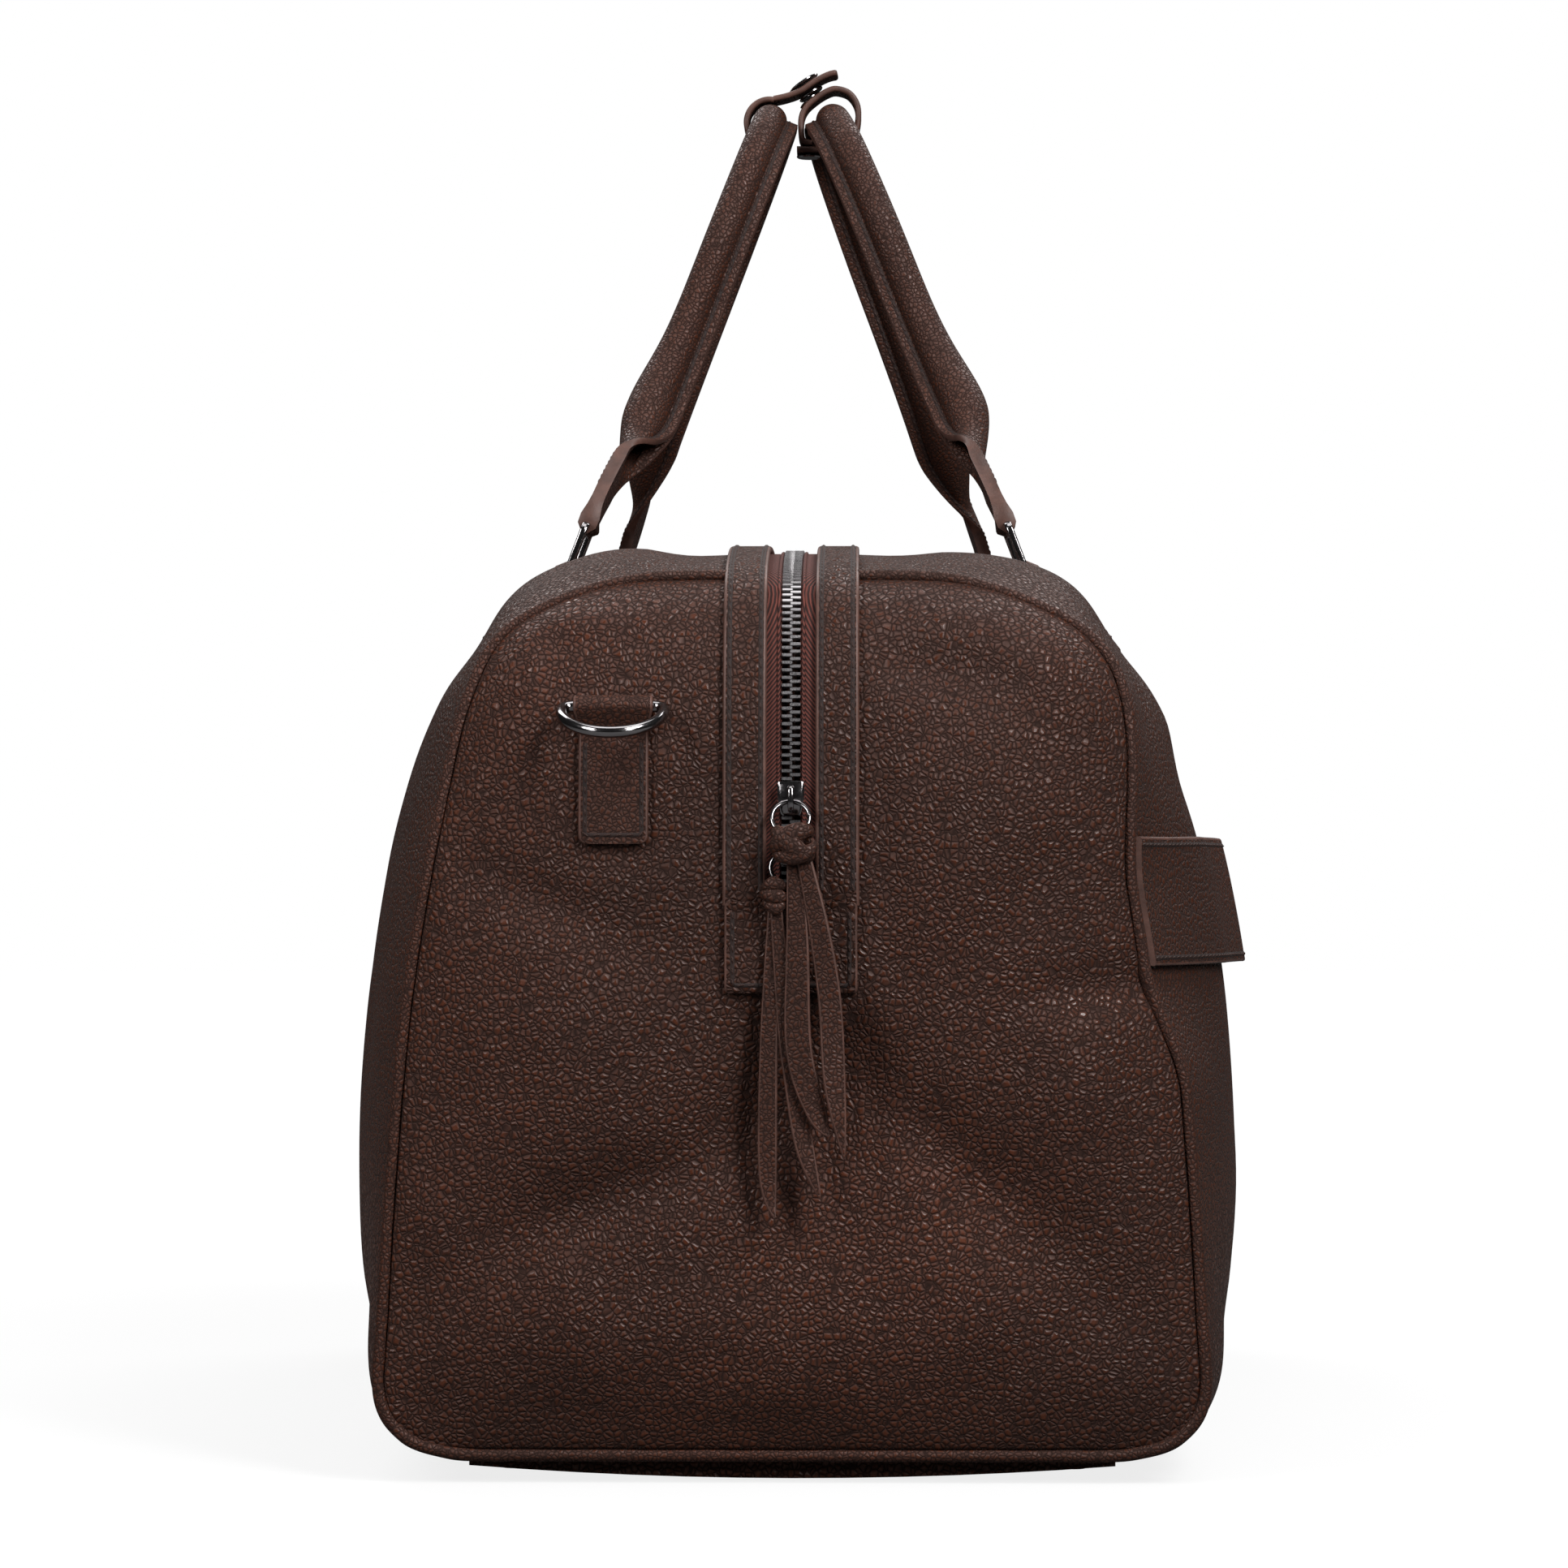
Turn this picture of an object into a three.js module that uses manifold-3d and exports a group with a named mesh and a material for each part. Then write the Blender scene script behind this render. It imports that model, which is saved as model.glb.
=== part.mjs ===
// Weekender bag: a soft leather holdall that stands on four metal feet. Millimetres, +Z up.
// +X is the end with the zip pulls, +Y is the back with the luggage band. The origin is on the floor
// under the middle of the bag.
import * as THREE from "three";
import { mergeVertices } from "three/addons/utils/BufferGeometryUtils.js";
import Module from "manifold-3d";

const wasm = await Module();
wasm.setup();

// ---------- driving dimensions ----------
const SEAM_X = 245; // from the middle to each end seam, low on the bag
const SEAM_LEAN = 15; // the end seams lean inwards by this much at the top
const SEAM_LEAN_FROM_Z = 185;
const END_BULGE_X = 257; // outermost point of each end panel
const SIDE_FULLNESS = 5; // exponent: the sides reach their full width soon after the seams
const BOTTOM_Z = 10; // lower edge of the end panels
const TOP_Z = 291; // upper edge of the end panels
const PANEL = 2.5; // leather and its padding
const SEAM_GAP = 3; // from a panel's edge to the seam line, which leaves room for the piping
const PIPING_R = 2;
const LINING_INSET = 4.2; // from the outside of the bag to the lining
const LINING = 0.8;
const SKIN_GAP = 0.6; // between a panel and what is sewn on it
const TRIM = 2; // thickness of the leather sewn on the panels

const SLOT_HALF = 13; // half the gap that the zip fills
const SLOT_END_Z = 172;
const TRIM_IN = 7.8; // zip trims, from the middle line
const TRIM_OUT = 21.8;
const TRIM_END_Z = 186.6;
const PATCH = { width: 42, low: 157, high: 186 };
const TAPE_END_Z = 175;
const TOOTH_HALF = 3.2;

const BASE = { halfX: 236, halfY: 104, edgeZ: 4.8, sag: 4, topZ: 7.8 };
const FOOT = { x: 200, y: 92, r: 6 };

const RING_X = 109; // from the middle to each handle ring
const RING_PIVOT_Y = 79.5;
const RING_LIFT = 4.6; // from the panel to the bar that turns in the chape
const RING = { width: 29, height: 17, bar: 2.8 }; // height is from bar to bar
const CHAPE = { width: 22, length: 34, wrap: 3.3 };
const LEAN = THREE.MathUtils.degToRad(21); // each handle leans inwards
const HANDLE_R = 6.3;
const CORE_R = 4.3;
const FLANGE = 10.2; // from the middle of the grip to the edge of its flange
const HANDLE_TWIST = 0.045; // the pair is turned a little about the vertical

const LEATHER = new THREE.Color(0x3a2119);
const EDGE = new THREE.Color(0x4a3028);
const TAPE = new THREE.Color(0x4c2119);
const METAL = new THREE.Color(0x5b5a5c);
const CLOTH = new THREE.Color(0x5e5248);
const BOARD = new THREE.Color(0x2a2a2a);

const bag = new THREE.Group();

// ---------- small tools ----------
const vec = (x, y, z) => new THREE.Vector3(x, y, z);
const range = (n) => Array.from({ length: n }, (_, i) => i);

function material(color, roughness = 0.6, metalness = 0) {
  return new THREE.MeshStandardMaterial({ color, roughness, metalness });
}
const leather = () => material(LEATHER, 0.55);
const metal = () => material(METAL, 0.2, 1);

function add(name, geometry, look, parent = bag) {
  const mesh = new THREE.Mesh(geometry, look);
  mesh.name = name;
  parent.add(mesh);
  return mesh;
}

// A closed geometry from a list of triangles of points, turned the right way out.
function closedGeometry(triangles) {
  let volume = 0;
  const at = vec(0, 0, 0);
  triangles.forEach(([a, b, c]) => (volume += a.dot(at.crossVectors(b, c))));
  const positions = [];
  triangles.forEach(([a, b, c]) => {
    const order = volume < 0 ? [a, c, b] : [a, b, c];
    order.forEach((p) => positions.push(p.x, p.y, p.z));
  });
  const geometry = new THREE.BufferGeometry();
  geometry.setAttribute("position", new THREE.Float32BufferAttribute(positions, 3));
  return mergeVertices(geometry, 1e-4);
}

function quad(triangles, a, b, c, d) {
  triangles.push([a, b, c], [a, c, d]);
}

// A sheet with thickness: outer and inner are grids [row][column] of points.
function sheet(outer, inner) {
  const rows = outer.length - 1;
  const columns = outer[0].length - 1;
  const t = [];
  for (let i = 0; i < rows; i++)
    for (let j = 0; j < columns; j++) {
      quad(t, outer[i][j], outer[i + 1][j], outer[i + 1][j + 1], outer[i][j + 1]);
      quad(t, inner[i][j], inner[i][j + 1], inner[i + 1][j + 1], inner[i + 1][j]);
    }
  for (let i = 0; i < rows; i++) {
    quad(t, outer[i][0], inner[i][0], inner[i + 1][0], outer[i + 1][0]);
    quad(t, outer[i + 1][columns], inner[i + 1][columns], inner[i][columns], outer[i][columns]);
  }
  for (let j = 0; j < columns; j++) {
    quad(t, outer[0][j + 1], inner[0][j + 1], inner[0][j], outer[0][j]);
    quad(t, outer[rows][j], inner[rows][j], inner[rows][j + 1], outer[rows][j + 1]);
  }
  return closedGeometry(t);
}

// A solid through closed sections of equal point count, with its two ends filled.
function loft(sections, cap) {
  const t = [];
  const n = sections[0].length;
  for (let i = 0; i + 1 < sections.length; i++)
    for (let j = 0; j < n; j++) {
      const k = (j + 1) % n;
      quad(t, sections[i][j], sections[i][k], sections[i + 1][k], sections[i + 1][j]);
    }
  const faces = THREE.ShapeUtils.triangulateShape(cap, []);
  const last = sections[sections.length - 1];
  faces.forEach(([a, b, c]) => {
    t.push([sections[0][a], sections[0][c], sections[0][b]]);
    t.push([last[a], last[b], last[c]]);
  });
  return closedGeometry(t);
}

// The same with a bore: outer and inner are lists of sections of equal point count.
function hollowLoft(outer, inner) {
  const t = [];
  const n = outer[0].length;
  const end = outer.length - 1;
  for (let i = 0; i < end; i++)
    for (let j = 0; j < n; j++) {
      const k = (j + 1) % n;
      quad(t, outer[i][j], outer[i][k], outer[i + 1][k], outer[i + 1][j]);
      quad(t, inner[i][j], inner[i + 1][j], inner[i + 1][k], inner[i][k]);
    }
  for (let j = 0; j < n; j++) {
    const k = (j + 1) % n;
    quad(t, outer[0][j], inner[0][j], inner[0][k], outer[0][k]);
    quad(t, outer[end][k], inner[end][k], inner[end][j], outer[end][j]);
  }
  return closedGeometry(t);
}

const circle = (r, n) =>
  range(n).map((i) => new THREE.Vector2().setX(r).rotateAround(new THREE.Vector2(), (2 * Math.PI * i) / n));

function toSolid(geometry) {
  const plain = new THREE.BufferGeometry();
  const source = geometry.index ? geometry.toNonIndexed() : geometry;
  plain.setAttribute("position", source.getAttribute("position"));
  const merged = mergeVertices(plain, 1e-4);
  return new wasm.Manifold(
    new wasm.Mesh({
      numProp: 3,
      vertProperties: new Float32Array(merged.attributes.position.array),
      triVerts: new Uint32Array(merged.index.array),
    }),
  );
}

function toGeometry(solid) {
  const mesh = solid.getMesh();
  const geometry = new THREE.BufferGeometry();
  geometry.setAttribute("position", new THREE.Float32BufferAttribute(mesh.vertProperties, 3));
  geometry.setIndex([...mesh.triVerts]);
  return geometry;
}

const join = (...parts) => toGeometry(parts.map(toSolid).reduce((a, b) => a.add(b)));
const cut = (part, tool) => toGeometry(toSolid(part).subtract(toSolid(tool)));

function box(x, y, z, cx = 0, cy = 0, cz = 0) {
  return new THREE.BoxGeometry(x, y, z).translate(cx, cy, cz);
}

// A flat outline in the Y-Z plane, swept along X from x0 to x1.
function alongX(shape, x0, x1) {
  const solid = new THREE.ExtrudeGeometry(shape, { depth: x1 - x0, bevelEnabled: false, curveSegments: 8 });
  return solid.rotateX(Math.PI / 2).rotateZ(Math.PI / 2).translate(x0, 0, 0);
}

// ---------- the shape of the bag ----------
// Half outlines (y, z) from the zip slot down to under the base: at the end seams and at mid-length.
const END_OUTLINE = [
  [13, 292], [50, 291], [77, 283], [95, 271], [105, 250], [111, 225], [118, 189],
  [124, 149], [128, 103], [131, 55], [132, 28], [124, 15], [110, 10], [95, 9],
];
const MID_OUTLINE = [
  [13, 307], [50, 304.5], [79, 297.5], [99, 286], [115, 267], [125, 240], [137, 200],
  [147, 153], [151, 105], [150, 58], [146, 28], [136, 13], [118, 9], [95, 8.5],
];
const spline = (points) => new THREE.SplineCurve(points.map(([y, z]) => new THREE.Vector2(y, z)));
const endCurve = spline(END_OUTLINE);
const midCurve = spline(MID_OUTLINE);


// How far out the end seams stand at height z.
function seamX(z) {
  const s = Math.max(0, (z - SEAM_LEAN_FROM_Z) / (TOP_Z - SEAM_LEAN_FROM_Z));
  return SEAM_X - SEAM_LEAN * s ** 2;
}

// A point of the front, top or back: u runs -1 to 1 along the bag, v runs 0 to 1 down the outline.
function sidePoint(u, v, side) {
  const end = endCurve.getPoint(v);
  const mid = midCurve.getPoint(v);
  const p = end.clone().lerp(mid, 1 - Math.abs(u) ** SIDE_FULLNESS);
  return vec(u * seamX(end.y), side * p.x, p.y);
}

function halfWidth(z) {
  let v = 0;
  let step = 0.5;
  for (let i = 0; i < 24; i++) {
    if (endCurve.getPoint(v + step).y > z) v += step;
    step /= 2;
  }
  return endCurve.getPoint(v).x;
}

// A point of an end panel: t runs -1 to 1 across, z is the height.
function endX(t, z) {
  const s = (z - (TOP_Z + BOTTOM_Z) / 2) / ((TOP_Z - BOTTOM_Z) / 2);
  const full = Math.max(0, (1 - t ** 4) * (1 - s ** 4)) ** 0.625;
  return seamX(z) + (END_BULGE_X - seamX(z)) * full;
}
const endPoint = (t, z, end) => vec(end * endX(t, z), t * halfWidth(z), z);

// A grid of points of a surface, and the same grid moved along the surface's own normals.
function surfaceGrid(point, us, vs, offset, outward) {
  const e = 1e-3;
  return us.map((u) =>
    vs.map((v) => {
      const du = point(u + e, v).sub(point(u - e, v));
      const dv = point(u, v + e).sub(point(u, v - e));
      const normal = du.cross(dv).normalize().multiplyScalar(outward);
      return point(u, v).addScaledVector(normal, offset);
    }),
  );
}

const spread = (from, to, n) => range(n + 1).map((i) => from + ((to - from) * i) / n);
// Steps that get finer towards both ends.
const spreadFineEnds = (half, n) => spread(-1, 1, n).map((s) => half * Math.sin((s * Math.PI) / 2));

function sidePanel(side, columns, rows, top, outside, inside) {
  const us = spreadFineEnds(1 - SEAM_GAP / SEAM_X, columns);
  const vs = spread(top, 0.999, rows);
  const point = (u, v) => sidePoint(u, THREE.MathUtils.clamp(v, 0, 1), side);
  return sheet(surfaceGrid(point, us, vs, outside, side), surfaceGrid(point, us, vs, inside, side));
}

function endPanel(end, columns, rows, outside, inside, margin = 0) {
  const middle = (TOP_Z + BOTTOM_Z) / 2;
  const half = (TOP_Z - BOTTOM_Z) / 2 - SEAM_GAP - 1.6 - margin;
  const ts = spreadFineEnds(0.963 - margin / 120, columns);
  const zs = spreadFineEnds(half, rows).map((z) => middle + z);
  const point = (t, z) => endPoint(t, z, end);
  const whole = sheet(surfaceGrid(point, ts, zs, outside, end), surfaceGrid(point, ts, zs, inside, end));
  const slot = box(80, 2 * SLOT_HALF, 2 * (TOP_Z - SLOT_END_Z), end * SEAM_X, 0, TOP_Z);
  return cut(whole, slot);
}

// ---------- body of the bag ----------
[["front", -1], ["back", 1]].forEach(([name, side]) => {
  add(name + "_panel", sidePanel(side, 10, 17, 0.001, 0, -PANEL), leather());
  const inset = -LINING_INSET;
  add(name + "_lining", sidePanel(side, 6, 10, 0.012, inset, inset - LINING), material(CLOTH, 0.9));
});
[["right", 1], ["left", -1]].forEach(([name, end]) => {
  add("end_panel_" + name, endPanel(end, 10, 12, 0, -PANEL), leather());
  const inset = -LINING_INSET;
  add("end_lining_" + name, endPanel(end, 8, 8, inset, inset - LINING, 5), material(CLOTH, 0.9));
});

// The piping closes each end seam and stops at the zip trims.
function piping(end) {
  const half = spread(0.055, 1, 17).map((v) => endCurve.getPoint(v));
  const bottom = [new THREE.Vector2(48, 9.5), new THREE.Vector2(0, 9.5), new THREE.Vector2(-48, 9.5)];
  const mirrored = half.map((p) => new THREE.Vector2(-p.x, p.y)).reverse();
  const line = [...half, ...bottom, ...mirrored].map((p) => vec(end * seamX(p.y), p.x, p.y));
  const section = circle(PIPING_R, 6);
  const rings = line.map((p, i) => {
    const along = line[Math.min(i + 1, line.length - 1)].clone().sub(line[Math.max(i - 1, 0)]).normalize();
    const outX = vec(1, 0, 0).addScaledVector(along, -along.x).normalize();
    const across = along.clone().cross(outX);
    return section.map((q) => p.clone().addScaledVector(outX, q.x).addScaledVector(across, q.y));
  });
  return loft(rings, section);
}
add("piping_right", piping(1), material(EDGE, 0.5));
add("piping_left", piping(-1), material(EDGE, 0.5));

// ---------- base ----------
const baseUnderside = (y) => BASE.edgeZ - BASE.sag * (1 - (y / BASE.halfY) ** 2);
function basePanel() {
  const xs = [-BASE.halfX, -BASE.halfX / 3, BASE.halfX / 3, BASE.halfX];
  const ys = spread(-BASE.halfY, BASE.halfY, 12);
  return sheet(
    xs.map((x) => ys.map((y) => vec(x, y, BASE.topZ))),
    xs.map((x) => ys.map((y) => vec(x, y, baseUnderside(y)))),
  );
}
add("base_panel", basePanel(), leather());
add("base_board", box(440, 176, 3, 0, 0, 11), material(BOARD, 0.8));
add("base_lining", box(440, 180, 0.8, 0, 0, 14), material(CLOTH, 0.9));
[["right", 1], ["left", -1]].forEach(([end, sx]) =>
  [["front", -1], ["back", 1]].forEach(([face, sy]) => {
    const top = baseUnderside(FOOT.y - FOOT.r) - 0.3;
    const profile = [[0, 0], [4.2, 0], [FOOT.r - 0.4, top * 0.45], [FOOT.r, top], [0, top]];
    const foot = new THREE.LatheGeometry(profile.map(([r, z]) => new THREE.Vector2(r, z)), 14);
    foot.rotateX(Math.PI / 2).translate(sx * FOOT.x, sy * FOOT.y, 0);
    add(`foot_${face}_${end}`, foot, metal());
  }),
);

// ---------- zip ----------
// The line of the zip, from the +X end over the top to the -X end, in the plane y = 0.
function zipLine(fromZ) {
  const rise = [...spread(fromZ, 250, 4), 266, 278, 286, 290.5].map((z) => vec(endX(0, z), 0, z));
  const crown = spread(0.955, -0.955, 14).map((u) => vec(sidePoint(u, 0, 1).x, 0, sidePoint(u, 0, 1).z));
  const fall = rise.map((p) => vec(-p.x, 0, p.z)).reverse();
  return [...rise, ...crown, ...fall];
}

// A ribbon along the zip line, from y0 to y1 across and n0 to n1 above the leather.
function zipRibbon(fromZ, y0, y1, n0, n1) {
  const line = zipLine(fromZ);
  const normals = line.map((_, i) => {
    const along = line[Math.min(i + 1, line.length - 1)].clone().sub(line[Math.max(i - 1, 0)]);
    return vec(along.z, 0, -along.x).normalize();
  });
  const edge = (y, n) => line.map((p, i) => vec(p.x + normals[i].x * n, y, p.z + normals[i].z * n));
  return sheet([edge(y0, n1), edge(y1, n1)], [edge(y0, n0), edge(y1, n0)]);
}
[["front", -1], ["back", 1]].forEach(([name, s]) => {
  const trim = zipRibbon(TRIM_END_Z, s * TRIM_IN, s * TRIM_OUT, SKIN_GAP, SKIN_GAP + TRIM);
  add("zip_trim_" + name, trim, leather());
  const tape = zipRibbon(TAPE_END_Z, s * (TOOTH_HALF + 0.3), s * 12.6, -0.9, -0.1);
  add("zip_tape_" + name, tape, material(TAPE, 0.9));
  add("zip_teeth_" + name, zipRibbon(TRIM_END_Z, s * 0.15, s * TOOTH_HALF, -1.6, 0.9), metal());
});

// A leather patch on an end panel, following its surface.
function patchOnEnd(end, y0, y1, z0, z1, n0, n1) {
  const ys = spread(y0, y1, 3);
  const zs = spread(z0, z1, 3);
  const layer = (n) => zs.map((z) => ys.map((y) => vec(end * (endX(y / halfWidth(z), z) + n), y, z)));
  return sheet(layer(n1), layer(n0));
}
[["right", 1], ["left", -1]].forEach(([name, end]) => {
  const half = PATCH.width / 2;
  const patch = patchOnEnd(end, -half, half, PATCH.low, PATCH.high, SKIN_GAP, SKIN_GAP + TRIM);
  add("zip_end_patch_" + name, patch, leather());
});

// A slider rides on the teeth: a tapered plate with a bail that holds the pull ring.
const SLIDER = { width: 8.6, length: 11, lift: 1.6, plate: 1.4, bail: 4.7 };
function slider(z) {
  const half = SLIDER.length / 2;
  const wide = SLIDER.width / 2;
  const narrow = wide - 1.2;
  const outline = [[-narrow, z - half], [narrow, z - half], [wide, z + half], [-wide, z + half]];
  const shape = new THREE.Shape(outline.map(([y, h]) => new THREE.Vector2(y, h)));
  const x = endX(0, z) + SLIDER.lift;
  const plate = alongX(shape, x, x + SLIDER.plate);
  const bail = box(SLIDER.bail, 1.8, 8, x + 0.5 + SLIDER.bail / 2, 0, z);
  const eye = box(2.4, 3, 6, x + 2.9, 0, z - 0.4);
  return cut(join(plate, bail), eye);
}

// A closed ring of round bar through points that lie in one plane with the given normal.
function ringBar(points, radius, sides, normal) {
  const n = points.length;
  const section = circle(radius, sides);
  const rings = points.map((p, i) => {
    const along = points[(i + 1) % n].clone().sub(points[(i + n - 1) % n]).normalize();
    const across = along.clone().cross(normal);
    return section.map((q) => p.clone().addScaledVector(normal, q.x).addScaledVector(across, q.y));
  });
  const t = [];
  rings.forEach((ring, i) => {
    const next = rings[(i + 1) % n];
    ring.forEach((p, j) => {
      const k = (j + 1) % sides;
      quad(t, p, ring[k], next[k], next[j]);
    });
  });
  return closedGeometry(t);
}

const rod = (r, length, sides) => new THREE.CylinderGeometry(r, r, length, sides);
const rodAlongX = (r, length, sides) => rod(r, length, sides).rotateZ(Math.PI / 2);

// ---------- pulls: a ring through the slider's bail, and a knotted strip with two tails ----------
// A ring hangs from `top` and its lower side stands further out by `out`. Tails are outlines of
// (y, z, half width), each in a layer at its own x.
const PULL_WIRE = 0.7;
const TAIL = 1.3;
const PULLS = [
  {
    name: "upper",
    sliderZ: 219,
    ring: { y: 0, top: 218, r: 6, inner: 261, out: 5.9 },
    knot: { x: 268.4, y: 1, z: 204.7, size: [7, 15, 11] },
    tails: [
      {
        x: 265.4,
        line: [[1.2, 201.5, 2.4], [2.2, 175, 3.6], [2.6, 140, 4.2], [8, 120, 3.4], [12, 112, 0.8]],
      },
      { x: 267, line: [[4, 201, 2.4], [9, 178, 3.3], [12.4, 155, 3.7], [14, 128, 3.5], [17, 105, 0.6]] },
    ],
  },
  {
    name: "lower",
    sliderZ: 203,
    ring: { y: -1.4, top: 201.7, r: 5, inner: 261.3, out: 2.8 },
    knot: { x: 264.1, y: -5, z: 188.5, size: [5.6, 7, 13] },
    tails: [
      { x: 261.2, line: [[-5, 185, 2.2], [-6.9, 142, 2.9], [-7.3, 100, 2.9], [-5.2, 86, 0.6]] },
      { x: 262.8, line: [[-4.6, 185, 2], [-1.5, 150, 3], [1, 130, 3.2], [4.5, 108, 3], [9.4, 92, 0.6]] },
    ],
  },
];
function pullRing({ y, top, r, inner, out }, wire) {
  const tilt = Math.asin(out / (2 * r));
  const path = range(16).map((i) => {
    const a = (2 * Math.PI * i) / 16;
    const down = r - r * Math.cos(a);
    return vec(inner + down * Math.sin(tilt), y + r * Math.sin(a), top - down * Math.cos(tilt));
  });
  return ringBar(path, wire, 6, vec(Math.cos(tilt), 0, Math.sin(tilt)));
}
function tassel({ ring, knot, tails }) {
  const ball = new THREE.SphereGeometry(0.5, 12, 8).scale(...knot.size).translate(knot.x, knot.y, knot.z);
  const strips = tails.map(({ x, line }) => {
    const left = line.map(([y, z, half]) => new THREE.Vector2(y - half, z));
    const right = line.map(([y, z, half]) => new THREE.Vector2(y + half, z)).reverse();
    return alongX(new THREE.Shape([...left, ...right]), x, x + TAIL);
  });
  return cut(join(ball, ...strips), pullRing(ring, PULL_WIRE + 0.35));
}
PULLS.forEach((pull) => {
  add("slider_" + pull.name, slider(pull.sliderZ), metal());
  add("pull_ring_" + pull.name, pullRing(pull.ring, PULL_WIRE), metal());
  add("tassel_" + pull.name, tassel(pull), leather());
});

// ---------- shoulder strap rings: a D-ring in a leather tab, on a different half of each end ----------
const DRING = { y: -56.6, z: 248.4, bar: 1.9, halfY: 16.3, depth: 21, tilt: THREE.MathUtils.degToRad(25) };
const TAB = { half: 12.7, lowerHalf: 11.2, bottom: 205, wrap: 3.7 };
[["right", 0], ["left", Math.PI]].forEach(([name, turn]) => {
  const end = new THREE.Group();
  end.rotation.z = turn;
  bag.add(end);
  const surface = endX(DRING.y / halfWidth(DRING.z), DRING.z);
  const x = surface + SKIN_GAP + TAB.wrap;
  const wrap = rod(TAB.wrap, 2 * TAB.half, 14).translate(x, DRING.y, DRING.z);
  const y0 = DRING.y - TAB.lowerHalf;
  const y1 = DRING.y + TAB.lowerHalf;
  const tab = patchOnEnd(1, y0, y1, TAB.bottom, DRING.z - 1, SKIN_GAP, SKIN_GAP + TRIM);
  const bore = rod(DRING.bar + 0.35, 40, 12).translate(x, DRING.y, DRING.z);
  add("dring_tab_" + name, cut(join(wrap, tab), bore), leather(), end);
  const arc = range(11).map((i) => {
    const a = (Math.PI * i) / 10;
    return [DRING.halfY * Math.cos(a), 3.5 + (DRING.depth - 3.5) * Math.sin(a)];
  });
  const flat = [[-DRING.halfY + 1, 0.9], [-13, 0], [13, 0], [DRING.halfY - 1, 0.9]];
  const dx = Math.cos(DRING.tilt);
  const dz = -Math.sin(DRING.tilt);
  const path = [...arc, ...flat].map(([y, r]) => vec(x + r * dx, DRING.y + y, DRING.z + r * dz));
  add("dring_" + name, ringBar(path, DRING.bar, 8, vec(-dz, 0, dx)), metal(), end);
});

// How far down the outline at u a test of the point first fails, from v = 0.
function findV(u, passes) {
  let v = 0;
  let step = 0.4;
  for (let i = 0; i < 22; i++) {
    if (passes(sidePoint(u, v + step, 1))) v += step;
    step /= 2;
  }
  return v;
}

// ---------- luggage band: sewn to the back near both ends, open over the middle ----------
const BAND = { low: 166, high: 207, half: 0.975, thickness: 2.2, gap: 6.5, openHalf: 0.5 };
function bandLayer(extra) {
  return spread(-BAND.half, BAND.half, 18).map((u) => {
    const standOff = SKIN_GAP + BAND.gap * THREE.MathUtils.smoothstep(-Math.abs(u), -0.72, -BAND.openHalf);
    return spread(BAND.low, BAND.high, 2).map((z) => {
      const p = sidePoint(u, findV(u, (q) => q.z > z), 1);
      return p.setY(p.y + 0.4 + standOff + extra);
    });
  });
}
add("luggage_band", sheet(bandLayer(BAND.thickness), bandLayer(0)), leather());

// ---------- handles ----------
// Everything on one side is drawn for the front and turned half round for the back.
const pivotV = findV(RING_X / SEAM_X, (q) => q.y < RING_PIVOT_Y);
const pivotZ = sidePoint(RING_X / SEAM_X, pivotV, 1).z + RING_LIFT;

// Centre line of half a grip in the handle's own plane: (x, height above the rings' pivot).
const GRIP = [[64, 57], [50, 80], [42, 108], [37, 142], [25, 173], [10, 187.5], [0, 189]];
const gripLine = new THREE.CatmullRomCurve3([
  ...GRIP.map(([x, h]) => vec(x, HANDLE_TWIST * x, h)),
  ...GRIP.slice(0, -1).reverse().map(([x, h]) => vec(-x, -HANDLE_TWIST * x, h)),
]);
const GRIP_STEPS = 20;
const inward = vec(0, 1, 0);

function gripSections(outline) {
  return range(GRIP_STEPS + 1).map((i) => {
    const p = gripLine.getPoint(i / GRIP_STEPS);
    const across = inward.clone().cross(gripLine.getTangent(i / GRIP_STEPS)).normalize();
    return outline.map((q) => p.clone().addScaledVector(across, q.x).addScaledVector(inward, q.y));
  });
}
const flangeAngles = [7, ...spread(25, 335, 8), 353].map(THREE.MathUtils.degToRad);
const aroundInward = (r) => flangeAngles.map((a) => new THREE.Vector2(r * Math.sin(a), r * Math.cos(a)));
const gripOutline = aroundInward(HANDLE_R);
gripOutline[0] = new THREE.Vector2(1.2, FLANGE);
gripOutline[gripOutline.length - 1] = new THREE.Vector2(-1.2, FLANGE);

// The flat end of a handle: it opens out from the grip and folds round the ring's upper bar.
function handleEnd(sx) {
  const [x1, h1] = GRIP[0];
  const first = vec(x1 + 0.5, HANDLE_TWIST * x1, h1 - 0.5);
  const last = vec(RING_X, 0, RING.height + 2.4);
  const sections = range(6).map((i) => {
    const s = i / 5;
    const p = first.clone().lerp(last, s);
    p.z -= 3 * Math.sin(Math.PI * s);
    const turn = THREE.MathUtils.lerp(THREE.MathUtils.degToRad(35), 0, s);
    const half = THREE.MathUtils.lerp(8, 11, THREE.MathUtils.smoothstep(s, 0, 0.5));
    const wide = vec(Math.cos(turn), 0, Math.sin(turn)).multiplyScalar(half);
    const thick = inward.clone().multiplyScalar(2.3);
    return [[1, 1], [-1, 1], [-1, -1], [1, -1]].map(([a, b]) =>
      p.clone().addScaledVector(wide, a).addScaledVector(thick, b),
    );
  });
  const square = [[1, 1], [-1, 1], [-1, -1], [1, -1]].map(([a, b]) => new THREE.Vector2(a, b));
  const loop = rodAlongX(3.5, 20, 12).translate(RING_X, 0, RING.height);
  const bore = rodAlongX(1.8, 30, 10).translate(RING_X, 0, RING.height);
  const made = cut(join(loft(sections, square), loop), bore);
  return sx > 0 ? made : made.rotateZ(Math.PI);
}

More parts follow.
